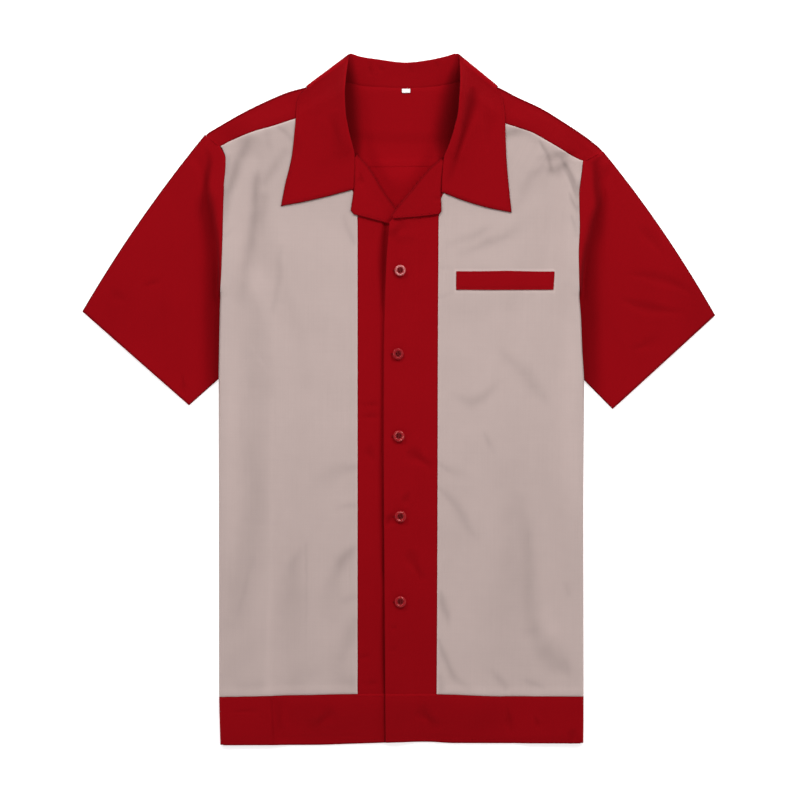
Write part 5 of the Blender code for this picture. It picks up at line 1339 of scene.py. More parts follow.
def collar_section(kind, rx, ry, rz, nx, ny, fx, fy, sag=0.0, part=None):
    """Points from the neck seam over the roll to the outer edge."""
    out = []
    low = COLLAR_WALL / 2
    high = low + 4.1
    fold = (low + high) / 2
    seat = float(back_z(nx, ny))
    reach = math.hypot(fx - rx, fy - ry)
    width = math.hypot(nx - rx, ny - ry)
    lean = [(0.0, seat), (0.5, 3.0)]
    near_stand, near_fall = ROLL, ROLL
    if kind == GORGE:
        roll = fall_base(rx, ry) + rz
        lean, nx, ny, width = [(1.0, roll)] * 2, rx, ry, 1e9
        below, above = roll, roll
    elif kind == UNDER:
        below, roll, above = low + 2 * ROLL, low + ROLL, low
    elif kind == TURN:
        lean[1] = (0.5, {"below": 2.7, "fold": 2.6, "above": 2.8}[part])
        below, roll, above = {"below": (2.6, 1.6, low), "fold": (2.6, 2.9, fold),
                              "above": (2.9, 3.9, high)}[part]
        near_stand, near_fall = {"below": (1.5, 1.5), "fold": (3.5, 4.5),
                                 "above": (2.5, 2.0)}[part]
    else:
        seat += 0.35 + PITCH * (0.8 if rz <= 6.0 else 1.0)
        below, roll, above = rz - 2 * ROLL, rz - ROLL * 0.6, rz
        lean = [(0.0, seat), (0.5, mix(seat, max(below, seat), 0.5))]
    for t, z in lean:
        out.append((mix(nx, rx, t), mix(ny, ry, t), z))
    t = max(0.62, 1.0 - near_stand / width)
    out.append((mix(nx, rx, t), mix(ny, ry, t), below))
    out.append((rx, ry, roll))
    for f in [near_fall / reach] + FALL_STATIONS:
        x, y = mix(rx, fx, f), mix(ry, fy, f) - sag * 4 * f * (1 - f)
        if kind == UNDER:
            z = low
        elif kind == TURN:
            z = {"below": low, "fold": fold, "above": high}[part]
        else:
            base = fall_base(x, y)
            z = base + max(0.0, above - base) * (1 - f) ** 2.4
        out.append((x, y, z))
    return out


def neck_shade(x, y):
    """Painted shade in the hollow beside the collar's roll line, a painted shadow along the lapels' fold lines,
    and painted light in the open neck lower down.
    """
    total = 0.95 * S((285.0 - y) / 45.0) * S((60.0 - np.abs(x)) / 8.0) - 0.2 * S((y - 285.0) / 20.0)
    for side in SIGN:
        rows = [r for r in COLLAR[side] if r[0] in (OVER, TURN)]
        line = curve([(r[2], r[1]) for r in rows] + [(FOLD_LINE[side][0 if side == RIGHT else -1][1],
                                                     FOLD_LINE[side][0 if side == RIGHT else -1][0])])
        reach, shade = (curve(NECK_SHADE[side], 0, c)(y) for c in (1, 2))
        d = SIGN[side] * (line(y) - x)
        q = smooth_line(FOLD_LINE[side], 4)
        gap = np.full(total.shape, 1e9)
        for (ax, ay), (bx, by) in zip(q, q[1:]):
            u = np.clip(((x - ax) * (bx - ax) + (y - ay) * (by - ay))
                        / ((bx - ax) ** 2 + (by - ay) ** 2), 0, 1)
            gap = np.minimum(gap, np.hypot(x - ax - u * (bx - ax), y - ay - u * (by - ay)))
        total = total - 2.6 * hump(gap, 2.0)
        total = total - shade * S((reach * 1.75 - d) / (reach * 1.15))
    return total


def turn_sections(side, row):
    s = SIGN[side]
    _, rx, ry, rz, nx, ny, fx, fy = row
    reach = math.hypot(fx - rx, fy - ry)
    inner = (-s * abs(fy - ry) / reach, -abs(fx - rx) / reach)
    out = []
    for part, dx, dy, seam_dx, inset in (("below", -1.7, 0.2, -4.0, 2.0),
                                         ("fold", 0.0, 0.0, 0.0, 0.0),
                                         ("above", 0.9, -2.2, 3.4, 2.0)):
        sx = nx + s * seam_dx
        out.append((TURN, collar_section(
            TURN, rx + s * dx, ry + dy, rz, sx, float(back_neck_y(sx)) + 0.35,
            fx + inner[0] * inset, fy + inner[1] * inset, part=part)))
    return out


def resample(P, keys, stations):
    """Smooth curve through the grid's rows at new stations."""
    out = np.zeros((len(stations),) + P.shape[1:])
    for j in range(P.shape[1]):
        for c in range(3):
            out[:, j, c] = curve(list(zip(keys, P[:, j, c])))(stations)
    return out


def collar():
    sections, owner = [], []
    for side in (RIGHT, LEFT):
        run = []
        for row in COLLAR[side]:
            if row[0] == TURN:
                run += turn_sections(side, row)
            else:
                sag = TIP_SAG[side] if row is COLLAR[side][-1] else 0.0
                run.append((row[0], collar_section(*row, sag=sag)))
        if side == RIGHT:
            sections = run[::-1] + [(UNDER, collar_section(*COLLAR_CENTRE))]
        else:
            sections += run
    kinds = [k for k, _ in sections]
    C = np.array([s for _, s in sections], float)
    # the outer edge is drawn in by half the wall, which the rounded rim gives back
    inset = C[:, -1] - C[:, -2]
    C[:, -1] -= inset / np.linalg.norm(inset, axis=1, keepdims=True) * COLLAR_WALL * 0.45
    step = (np.linalg.norm(np.diff(C[:, 3], axis=0), axis=1)
            + np.linalg.norm(np.diff(C[:, -1], axis=0), axis=1)) / 2
    keys = np.concatenate([[0], np.cumsum(np.maximum(step, 1.2))])
    stations = []
    for k, (a, b) in enumerate(zip(keys, keys[1:])):
        n = max(2, int(round((b - a) / 2.0)))
        if TURN in (kinds[k], kinds[k + 1]):
            n = max(n, 5)
        stations += list(np.linspace(a, b, n, endpoint=False))
    stations = np.array(stations + [keys[-1]])
    for end in (1, -1):                                   # closer rows at the notches
        extra = stations[0] + np.array([0.4, 0.9]) if end == 1 else stations[-1] - np.array([0.9, 0.4])
        stations = np.unique(np.concatenate([stations, extra]))
    A = resample(C, keys, stations)
    # across: stand, roll, fall
    n_pts = A.shape[1]
    fine = np.concatenate([np.linspace(0, 2, 13)[:-1], np.linspace(2, 4, 9)[:-1],
                           np.linspace(4, 5, 7)[:-1], np.linspace(5, 6, 9)[:-1],
                           np.linspace(6, 7, 10)[:-1],
                           7 + np.array([0, .12, .24, .36, .48, .58, .68, .77, .84, .89, .93, .96, .98, 1.0])])
    B = resample(A.transpose(1, 0, 2), np.arange(n_pts, dtype=float), fine).transpose(1, 0, 2)
    over = np.interp(stations, keys, [1.0 if k in (OVER, GORGE) else 0.0 for k in kinds])
    fall = S((fine - 3.6) / 0.8)[None, :] * S((over - 0.6) / 0.4)[:, None]
    x, y = B[..., 0], B[..., 1]
    floor = front_z(x, y) + CLOTH / 2 + COLLAR_WALL / 2 + 0.15
    z = B[..., 2] + creases(x, y, "collar") * fall * S((fine - 4.0) / 0.5)[None, :]
    d_edge = np.linalg.norm(B - B[:, -1:], axis=2)
    d_edge = np.where(fine[None, :] > 4, d_edge, 99.0)
    z = z + (0.22 * waves(x, y, 48, 61) + 0.08 * waves(x, y, 17, 62)) * fall * S((d_edge - 1) / 6)
    z = z - 0.16 * hump(d_edge - 3.0, 0.8) + pucker(stations[:, None] + 0 * x, d_edge, 63, 10, 4, 0.12) * (over[:, None] > 0.5)
    z = np.where(fall > 0, mix(z, floor + np.where(z - floor > 0.3, z - floor, 0.3 * np.exp((z - floor) / 0.3 - 1)), fall), z)
    stand = S((2.6 - fine) / 1.0)[None, :] * (1 - S(over))[:, None]
    z = z + creases(x, y, "stand") * stand + 0.12 * waves(x, y, 22, 64) * stand
    # a fine ripple along the roll
    z = z + 0.25 * np.sin(stations / 13.0)[:, None] * hump(fine - 3.8, 0.9)[None, :] * over[:, None]
    B[..., 2] = z
    gorge = np.interp(stations, keys, [1.0 if k == GORGE else 0.0 for k in kinds])
    keep = np.ones((len(stations) - 1, len(fine) - 1), bool)
    first = int(np.searchsorted(fine, 3.0))
    covered = np.maximum(gorge[:-1], gorge[1:]) > 0.001
    keep[np.ix_(covered, np.arange(len(fine) - 1) < first)] = False
    thick = np.broadcast_to(mix(CLOTH, COLLAR_WALL, S((fine - 2.4) / 1.4))[None, :], B.shape[:2])
    # painted shade: in the creases, in the neck hollow on the stand, at the notches, along the outer edge and
    # along the roll at the back; the stand a little darker, and the fall a little darker, most higher up beside
    # the tall roll
    tone = 0.6 * np.minimum(creases(x, y, "collar") * fall, 0) + 0.5 * creases(x, y, "stand") * stand
    # painted shade of the neck hollow on the stand
    tone = tone + neck_shade(x, y) * (fine < 3.3)[None, :] * (y > 300)
    from_end = np.minimum(stations - stations[0], stations[-1] - stations)[:, None]
    tone = tone - 2.4 * hump(from_end, 1.3) * (fine > 4.0)[None, :]
    tone = tone - 1.4 * hump(d_edge, 1.05) * (1 - 0.7 * S((y - 262.0) / 20.0)) - 2.6 * hump(fine - 4.0, 0.6)[None, :] * (1 - over[:, None])
    tone = tone - 0.22 * fall + 0.06 * waves(x, y, 45, 66) - 1.0 * S((y - 295.0) / 45.0) * fall
    tone = tone - 0.4 * (1 - fall) * (fine < 3.6)[None, :]
    solid("collar_cloth", B, "red_cotton", "collar", thick=thick, mask=keep, tone=tone)
    PIECES["collar_cloth"].update(over=over, fine=fine, stations=stations)


# ---------------------------------------------------------------- sleeves
def sleeve(side):
    spec, s = SLEEVE[side], SIGN[side]
    tip = np.array(spec["tip"], float)
    ct, cb = (np.array(spec[k], float) for k in ("cuff_top", "cuff_bottom"))
    y_rows = mix(EDGE[side][-1][0], spec["inner"], spaced(262.0, 2.6))
    ex = edge_x[side](y_rows)
    run = np.concatenate([[0], np.cumsum(np.hypot(np.diff(ex), np.diff(y_rows)))])
    t = (run / run[-1])[:, None]
    top_line = ct - tip
    normal = np.array([-top_line[1], top_line[0]]) / np.linalg.norm(top_line)
    if normal[1] < 0:
        normal = -normal
    f = spaced(150.0, 2.4)[None, :]
    sx = ex[:, None] + s * 0.25
    cx, cy = mix(ct[0], cb[0], t), mix(ct[1], cb[1], t)
    bow = spec["bow"] * 4 * f * (1 - f) * (1 - t) ** 3
    x = mix(sx, cx, f) + normal[0] * bow
    y = mix(y_rows[:, None], cy, f) + normal[1] * bow
    length = np.hypot(cx - sx, cy - y_rows[:, None])
    d = length * f                                        # from the armhole
    yr = y_rows[:, None] + 0 * f
    tucked = S((124.0 - yr) / 12.0)
    strip, foot, rise_w = (curve(STEP[side], 0, c)(yr) for c in (1, 2, 3))
    swell = np.sin(math.pi * np.clip(t, 0, 1)) ** 0.55
    crown = SLEEVE_PUFF * S((d - foot) / rise_w) * swell * (1 - 0.55 * S((f - 0.45) / 0.55))
    low_seam = S(((264.0 if side == RIGHT else 256.5) - yr[:, :1]) / 14.0)
    seam_z = front_z(ex[:, None] - s * 0.3, yr[:, :1]) - 0.5 * low_seam
    detail = creases(x, y, "sleeve") + 0.25 * waves(x, y, 70, 71 + int(s)) * S(crown / 2)
    d_cuff = length * (1 - f)
    detail = detail + pucker(t * 150 + 0 * x, d_cuff, 73, 10, 5, 0.12)
    off = s * (x - edge_x[side](y))
    # painted shadow cast by the body's raised side onto the sleeve beside the armhole
    middle, near, far, shade = (curve(ARM_SHADE[side], 0, c)(y) for c in (1, 2, 3, 4))
    arm_tone = -shade * np.exp(-np.abs((off - middle) / np.where(off < middle, near, far)) ** 2.4)
    # painted shade in the creases, and random tone
    arm_tone = arm_tone + 0.5 * np.minimum(creases(x, y, "sleeve"), 0) + 0.05 * waves(x, y, 60, 88)
    arm_tone = arm_tone - 0.25 * S((y - 170.0) / 80.0) + (0.55 if side == RIGHT else 0.40) * S((100.0 - y) / 110.0)
    arm_tone = arm_tone - (0.35 if side == LEFT else 0.1) * S((s * x - 285.0) / 40.0)
    d_up = np.abs((x - x[:1]) * normal[0] + (y - y[:1]) * normal[1])
    low_edge = np.array([x[-1, -1] - x[-1, 0], y[-1, -1] - y[-1, 0]])
    low_edge /= np.linalg.norm(low_edge)
    d_low = np.abs((x - x[-1, 0]) * low_edge[1] - (y - y[-1, 0]) * low_edge[0])
    # painted shade along the folded upper and lower edges and the cuff
    arm_tone = arm_tone - 2.9 * hump(np.minimum(np.minimum(d_up, d_low), d_cuff), 1.1)
    low = BASE + CLOTH + 0.05
    plane = BASE + PITCH + crown + detail
    onto = (1 - S((d - strip) / np.maximum(foot - strip, 2.0))) * (1 - tucked)
    roll = (0.35 * S((9 - d) / 2.5) - 0.6 * hump(d, 0.9)) * (1 - tucked) * low_seam
    z_top = clear(mix(plane, np.maximum(seam_z, plane), onto) + roll, low)
    z_bot = BASE + 0.3 * np.abs(waves(x, y, 80, 75 + int(s))) * S(crown / 3)
    z_bot = np.minimum(z_bot, z_top - CLOTH - 0.1)
    # the upper and lower edges are folds: both layers meet round a small bend
    r = PITCH / 2

    def rounded(x, y, row, direction, z0, z1):
        out = []
        for a in np.radians([30, 60, 90, 120, 150]):
            out.append(np.stack([x[row] + direction[0] * 1.0 * math.sin(a),
                                 y[row] + direction[1] * 1.0 * math.sin(a),
                                 mix(z0[row], z1[row], (1 - math.cos(a)) / 2)], 1))
        return out
    inner = -normal * (1.0 + CLOTH / 2)
    x[0], y[0] = x[0] + inner[0], y[0] + inner[1]
    y[-1] = y[-1] + 1.0 + CLOTH / 2
    under_x, under_y = x.copy(), y.copy()
    z_top[0] = np.minimum(z_top[0], BASE + PITCH + 0.6)
    z_top[-1] = np.minimum(z_top[-1], BASE + PITCH + 0.6)
    top_rows = np.stack([x, y, z_top], 2)
    bottom_rows = np.stack([under_x, under_y, z_bot], 2)
    low_fold = rounded(x, y, -1, (0.0, -1.0), z_top, z_bot)
    high_fold = rounded(x, y, 0, normal, z_bot, z_top)
    ringed = np.concatenate([top_rows, np.array(low_fold), bottom_rows[::-1],
                             np.array(high_fold)], 0)
    nt_ = len(y_rows)
    row_y = np.concatenate([y_rows, np.full(5, y_rows[-1]), y_rows[::-1], np.full(5, y_rows[0])])
    # hidden part of the sleeve under the turned-in side
    w = np.maximum(strip_width(row_y) - 0.6, 0.5)
    hx = edge_x[side](row_y) - s * (FRONT_BEND + CLOTH / 2 + w)
    cols = []
    for g in np.linspace(0, 1, 9)[:-1]:
        first = ringed[:, 0]
        px = mix(hx, first[:, 0], g)
        cols.append(np.stack([px, first[:, 1], first[:, 2]], 1))
    hidden = np.stack(cols, 1)
    is_top = np.zeros(len(row_y), bool)
    is_top[:nt_] = True
    hidden[..., 2] = np.where(is_top[:, None], np.minimum(hidden[..., 2], BASE + PITCH), BASE)
    for k in range(5):
        hidden[nt_ + k, :, 2] = ringed[nt_ + k, 0, 2]
    ringed = np.concatenate([hidden, ringed], 1)
    keep = np.ones((len(row_y), ringed.shape[1] - 1), bool)
    exposed = row_y > TUCK_START + 10
    exposed |= np.roll(exposed, -1)
    keep[np.ix_(exposed, np.arange(ringed.shape[1] - 1) < 8)] = False
    # the cuff's turned-in hem
    n_before = ringed.shape[1]
    N, _ = surface_frame(ringed, keep, True)
    n = N[:, -2]
    centre = ringed[:, -1].mean(0)
    flip = np.sign(((centre - ringed[:, -1]) * n).sum(1))[:, None]
    n_in = n * np.where(flip == 0, 1, flip)
    n_in = np.where(is_top[:, None], -np.abs(n) * np.array([0, 0, 1.0]), n_in)
    n_in = np.zeros_like(n)
    n_in[:nt_, 2] = -1
    n_in[nt_ + 5:2 * nt_ + 5, 2] = 1
    o = ringed[:, -1] - ringed[:, -4]
    o /= np.linalg.norm(o, axis=1, keepdims=True)
    room = np.abs(ringed[:nt_, -1, 2] - ringed[nt_ + 5:2 * nt_ + 5, -1, 2][::-1])
    depth = np.zeros(len(row_y))
    depth[:nt_] = np.clip(room / 2 - 0.35, 0.15, 0.7)
    depth[nt_ + 5:2 * nt_ + 5] = depth[:nt_][::-1]
    depth[nt_:nt_ + 5] = 0.15
    depth[2 * nt_ + 5:] = 0.15
    cols = []
    for a in np.radians([45, 90, 135, 180]):
        cols.append(ringed[:, -1] + o * 0.45 * math.sin(a)
                    + n_in * (depth * (1 - math.cos(a)) / 2)[:, None])
    tone = np.zeros(ringed.shape[:2])
    # at the armhole seam: a painted light line up by the shoulder, a painted shade line lower down
    from_y, over_y, lit = (262.0, 12.0, -1.2) if side == RIGHT else (257.5, 5.0, -1.4)
    tone[:nt_, 8:] = arm_tone - hump(d, 1.1) * mix(lit, 2.0, S((from_y - y_rows[:, None]) / over_y))
    P = np.concatenate([ringed, np.stack(cols, 1)], 1)
    tone = np.concatenate([tone, np.zeros((len(tone), 4))], 1)
    keep = np.concatenate([keep, np.ones((len(keep), 4), bool)], 1)
    u = np.concatenate([np.zeros((len(P), 1)),
                        np.cumsum(np.linalg.norm(np.diff(P, axis=1), axis=2), 1)], 1)
    v = np.concatenate([[0], np.cumsum(np.linalg.norm(np.diff(P[:, 40], axis=0), axis=1))])
    cut = np.stack([u, v[:, None] + 0 * u, 0 * u], 2)
    solid("sleeve_cloth_" + side, P, "red_cotton", "sleeve_" + side, mask=keep, ring=True,
          cut=cut, tone=tone)
    PIECES["sleeve_cloth_" + side]["top_rows"] = nt_


# ---------------------------------------------------------------- small pieces
def welt():
    f = spaced(105.0, 1.4)[None, :]
    v = spaced(20.0, 1.2)[:, None]
    x = mix(WELT["x0"] + 0.4, WELT["x1"] + 0.4 - 1.2 * v, f)
    top = WELT["top"] - 0.4 + 0.55 * hump((f - 0.52) * 105, 20) - 0.2 * f
    low = WELT["bottom"] + 0.4 - 0.25 * hump((f - 0.4) * 105, 30)
    y = mix(top, low, v)
    d = np.minimum(np.minimum(f * 105, (1 - f) * 105), np.minimum(v * 20, (1 - v) * 20))
    z = (front_z(x, y) + 0.6 * folds(x, y, LEFT)[0] + CLOTH / 2 + 0.50
         + 0.25 * S(d / 5.0) - 0.16 * hump(d - 2.2, 0.7) + pucker(x, d, 81, 9, 4, 0.08))
    P = np.stack([x + 0 * z, y + 0 * z, z], 2)
    solid("welt_cloth", P, "red_cotton", "chest_welt", thick=0.9)


def size_label():
    f = np.linspace(0, 1, 15)[None, :]
    v = np.linspace(0, 1, 9)[:, None]
    x = mix(LABEL["x0"], LABEL["x1"], f) + 0 * v
    y = mix(LABEL["top"], LABEL["bottom"], v) + 0 * f
    z = back_z(x, y) + PITCH * 0.75 + 0.5 * S(v) * (0.7 + 0.3 * np.sin(f * 5)) + 0 * f
    P = np.stack([x, y, z], 2)
    solid("size_label_tape", P, "white_tape", "size_label", thick=0.45)


def lathe(profile, segments=64):
    """Closed turned shape from a profile of (radius, z); ends on the axis."""
    a = np.linspace(0, 2 * math.pi, segments, endpoint=False)
    inner = profile[1:-1]
    verts = [(0, 0, profile[0][1])]
    for r, z in inner:
        verts += [(r * math.cos(t), r * math.sin(t), z) for t in a]
    verts.append((0, 0, profile[-1][1]))
    quads, tris = [], []
    n = segments
    for k in range(n):
        tris.append((0, 1 + (k + 1) % n, 1 + k))
        for i in range(len(inner) - 1):
            p, q = 1 + i * n, 1 + (i + 1) * n
            quads.append((p + k, p + (k + 1) % n, q + (k + 1) % n, q + k))
        p = 1 + (len(inner) - 1) * n
        tris.append((p + k, p + (k + 1) % n, len(verts) - 1))
    return np.array(verts, float), quads, tris


def button_mesh():
    """Four-hole button: flat back, rounded rim, groove and dished middle."""
    r, h = BUTTON_RADIUS, BUTTON_HEIGHT
    profile = [(0, 0), (r - 1.5, 0), (r - 0.9, 0.08), (r - 0.35, 0.45), (r - 0.06, 1.0),
               (r, 1.4), (r - 0.08, 1.78), (r - 0.24, 2.08), (r - 0.48, 2.32), (r - 0.78, 2.48),
               (r - 1.15, 2.57), (r - 1.55, h), (r - 1.95, 2.57), (r - 2.25, 2.48),
               (r - 2.5, 2.30), (r - 2.68, 2.06), (r - 2.85, 1.84), (r - 3.1, 1.70),
               (2.0, 1.62), (0, 1.60)]
    verts, quads, tris = lathe(profile)
    blank = mesh_object("button_blank", verts, quads, tris)
    cutters = []
    for sx in (-1, 1):
        for sy in (-1, 1):
            hole = [(0, -1), (0.74, -1), (0.74, 1.46), (0.80, 1.56), (0.92, 1.68), (0.92, 4), (0, 4)]
            v, q, t = lathe(hole, 20)
            v[:, 0] += sx * 1.2
            v[:, 1] += sy * 1.2
            cutters.append(mesh_object(f"hole_{sx}_{sy}", v, q, t))
    for k, cutter in enumerate(cutters):
        mod = blank.modifiers.new(f"hole_{k}", "BOOLEAN")
        mod.operation, mod.object, mod.solver = "DIFFERENCE", cutter, "EXACT"
    bpy.context.view_layer.update()
    graph = bpy.context.evaluated_depsgraph_get()
    mesh = bpy.data.meshes.new_from_object(blank.evaluated_get(graph))
    mesh.name = "button"
    for obj in [blank] + cutters:
        bpy.data.objects.remove(obj, do_unlink=True)
    mesh.shade_smooth()
    mesh.set_sharp_from_angle(angle=math.radians(38))
    mesh.materials.clear()
    for name in ("red_button", "button_cup_painted_shade"):
        mesh.materials.append(MATERIALS[name])
    for face in mesh.polygons:
        cx, cy, cz = face.center
        face.material_index = int(math.hypot(cx, cy) < (r - 2.9) * MM and cz > 0.5 * MM)
    return mesh


def tube(points, radius, sides=6):
    """Closed tube through points, with pinched ends; returns verts and quads."""
    p = np.asarray(points, float)
    d = np.gradient(p, axis=0)
    d /= np.maximum(np.linalg.norm(d, axis=1, keepdims=True), 1e-9)
    up = np.array([0.0, 0.0, 1.0])
    a = np.cross(d, up)
    bad = np.linalg.norm(a, axis=1) < 1e-3
    a[bad] = (1, 0, 0)
    a /= np.linalg.norm(a, axis=1, keepdims=True)
    b = np.cross(a, d)
    ang = np.linspace(0, 2 * math.pi, sides, endpoint=False)
    r = np.broadcast_to(np.asarray(radius, float), (len(p),))
    rings = (p[:, None] + r[:, None, None] * (a[:, None] * np.cos(ang)[None, :, None]
                                              + b[:, None] * np.sin(ang)[None, :, None]))
    verts = rings.reshape(-1, 3)
    quads = []
    n = len(p)
    for i in range(n - 1):
        for k in range(sides):
            q, w = i * sides, (i + 1) * sides
            quads.append((q + k, q + (k + 1) % sides, w + (k + 1) % sides, w + k))
    tris = []
    for base, flip in ((0, True), ((n - 1) * sides, False)):
        for k in range(1, sides - 1):
            t = (base, base + k, base + k + 1)
            tris.append(t[::-1] if flip else t)
    return verts, quads, tris


def join_tubes(name, parts, material):
    verts, quads, tris, at = [], [], [], 0
    for v, q, t in parts:
        verts.append(v)
        quads.append(np.asarray(q, np.int64) + at)
        tris.append(np.asarray(t, np.int64) + at)
        at += len(v)
    obj = mesh_object(name, np.concatenate(verts), np.concatenate(quads), np.concatenate(tris))
    obj.data.materials.append(MATERIALS[material])
    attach(obj, "root")
    return obj


def stitch_row(path, normals, lift, pitch=2.6, length=1.95, radius=0.17, seed=1):
    """Separate stitches along a path on the cloth, each dipping in at its ends."""
    path = np.asarray(path, float)
    step = np.linalg.norm(np.diff(path, axis=0), axis=1)
    run = np.concatenate([[0], np.cumsum(step)])
    rng = np.random.default_rng(seed)
    parts = []
    s = 0.6
    while s + length < run[-1]:
        a = s + rng.uniform(-0.1, 0.1)
        keys = a + np.array([0.0, 0.16, 0.5, 0.84, 1.0]) * length
        p = np.stack([np.interp(keys, run, path[:, c]) for c in range(3)], 1)
        n = np.stack([np.interp(keys, run, normals[:, c]) for c in range(3)], 1)
        rise = np.array([-0.22, 0.02, 0.10, 0.02, -0.22])
        parts.append(tube(p + n * (lift + rise)[:, None] if np.ndim(lift) else p + n * (lift + rise[:, None]),
                          radius * np.array([0.7, 1.0, 1.05, 1.0, 0.7]), 5))
        s += pitch
    return parts


def inset_path(piece, inset, end=True, rows=None, cols=None, axis=1):
    """Points and upward normals at a distance inside one border of a piece's grid."""
    P, N = piece["P"], piece["N"]
    if rows is not None:
        P, N = P[rows], N[rows]
    if cols is not None:
        P, N = P[:, cols], N[:, cols]
    if axis == 0:
        P, N = P.transpose(1, 0, 2), N.transpose(1, 0, 2)
    if end:
        P, N = P[:, ::-1], N[:, ::-1]
    run = np.concatenate([np.zeros((len(P), 1)),
                          np.cumsum(np.linalg.norm(np.diff(P, axis=1), axis=2), 1)], 1)
    out, nor = [], []
    for r, p, n in zip(run, P, N):
        out.append([np.interp(inset, r, p[:, c]) for c in range(3)])
        nor.append([np.interp(inset, r, n[:, c]) for c in range(3)])
    nor = np.array(nor)
    nor *= np.sign(nor[:, 2:3] + 1e-9)
    return np.array(out), nor / np.linalg.norm(nor, axis=1, keepdims=True)


def topstitching():
    parts = {"collar": [], "lapel": [], "band": [], "welt": []}
    c = PIECES["collar_cloth"]
    lift = COLLAR_WALL / 2
    path, nor = inset_path(c, 3.0)
    ok = c["over"] > 0.99
    split = np.nonzero(~ok)[0]
    for part in (slice(0, split[0]), slice(split[-1] + 1, len(ok))):
        parts["collar"] += stitch_row(path[part], nor[part], lift, seed=1)
    cols = slice(int(np.searchsorted(c["fine"], 4.4)), None)
    for end in (False, True):
        path, nor = inset_path(c, 3.0, end=end, cols=cols, axis=0)
        parts["collar"] += stitch_row(path[:-3], nor[:-3], lift, seed=2)
    for side in SIGN:
        L = PIECES["lapel_cloth_" + side]
        path, nor = inset_path(L, 2.6, end=False, cols=slice(0, 26))
        parts["lapel"] += stitch_row(path[4:], nor[4:], LAPEL_WALL * 0.43, seed=3)
    for side in SIGN:
        b = PIECES["band_front_cloth_" + side]
        rows = slice(0, b["rows"])
        main = slice(9, -18) if side == LEFT else slice(0, -18)
        for end, inset in ((True, 3.0), (False, 2.8)):
            path, nor = inset_path(b, inset, end=end, rows=rows, cols=main, axis=0)
            parts["band"] += stitch_row(path, nor, CLOTH / 2, seed=4)
    w = PIECES["welt_cloth"]
    for axis, end in ((0, False), (0, True), (1, False), (1, True)):
        path, nor = inset_path(w, 2.2, end=end, axis=axis)
        parts["welt"] += stitch_row(path[3:-3], nor[3:-3], 0.45, seed=5)
    for name, rows in parts.items():
        obj = join_tubes(f"topstitch_{name}", rows, "red_thread")


def height_at(piece, x, y):
    """Top of a piece at one point, from its nearest grid point."""
    P = piece["P"]
    d = np.hypot(P[..., 0] - x, P[..., 1] - y) - P[..., 2] * 1e-4
    i = np.unravel_index(np.argmin(np.where(d < d.min() + 0.8, -P[..., 2], 1e9)), d.shape)
    return P[i][2] + CLOTH / 2


def buttons():
    mesh = button_mesh()
    placket_piece = PIECES["placket_cloth_left"]
    tilt = [(0.0, 0.0), (7.5, 8.0), (-3.0, -3.4), (2.8, -3.3), (2.6, -3.8)]   # about x and y
    turn = [12, 40, -8, 25, 3]
    threads, holes = [], []
    for k, (x, y) in enumerate(BUTTONS, 1):
        seat = max(height_at(placket_piece, x + dx, y + dy)
                   for dx in (-6, 0, 6) for dy in (-6, 0, 6))
        own = mesh.copy()
        # the top button's copy is painted lighter and the next one's darker, with more and less gloss
        if k < 3:                                         # the top one shines more, the next less
            own.materials[0] = MATERIALS["bright_button" if k == 1 else "dull_button"]
        obj = bpy.data.objects.new(f"button_round_{k}", own)
        obj.location = (x * MM, y * MM, (seat + 0.25) * MM)
        obj.rotation_euler = (math.radians(tilt[k - 1][0]), math.radians(tilt[k - 1][1]),
                              math.radians(turn[k - 1]))
        bpy.context.scene.collection.objects.link(obj)
        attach(obj, "root")
        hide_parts(f"button_{k}")
        c, s = math.cos(math.radians(turn[k - 1])), math.sin(math.radians(turn[k - 1]))
        for sx in (-1.2, 1.2):
            for off in (-0.16, 0.16):
                pts = []
                for v in np.linspace(-1, 1, 9):
                    px, py = sx + off, v * 1.2
                    z = seat + 0.25 + 1.60 + 0.30 - 1.15 * max(0.0, abs(v) - 0.72) / 0.28
                    pts.append((x + px * c - py * s, y + px * s + py * c, z))
                threads.append(tube(pts, 0.17, 6))
        # a bar of close stitches round the slit, mostly under the button
        for j in range(34):
            f = j / 33.0
            px = mix(-7.4, 4.6, f)
            for sy in (-1, 1):
                z0 = height_at(placket_piece, x + px, y) + 0.10
                pts = [(x + px + 0.05 * sy, y + sy * 0.28, z0 - 0.12),
                       (x + px, y + sy * 0.62, z0 + 0.16),
                       (x + px - 0.05 * sy, y + sy * 1.12, z0 - 0.10)]
                holes.append(tube(pts, 0.25, 5))
        for px in (-7.7, -8.0):
            z0 = height_at(placket_piece, x + px, y) + 0.10
            pts = [(x + px, y + v * 1.15, z0 + 0.14 * (1 - v * v)) for v in (-1, -0.5, 0, 0.5, 1)]
            holes.append(tube(pts, 0.25, 5))
    join_tubes("button_threads", threads, "dark_thread")
    join_tubes("buttonhole_stitching", holes, "red_thread")


back_body()
yoke()
for which in SIGN:
    front_panel(which)
    placket(which)
    lapel(which)
    sleeve(which)
hem_bands()
collar()
welt()
size_label()
topstitching()
buttons()

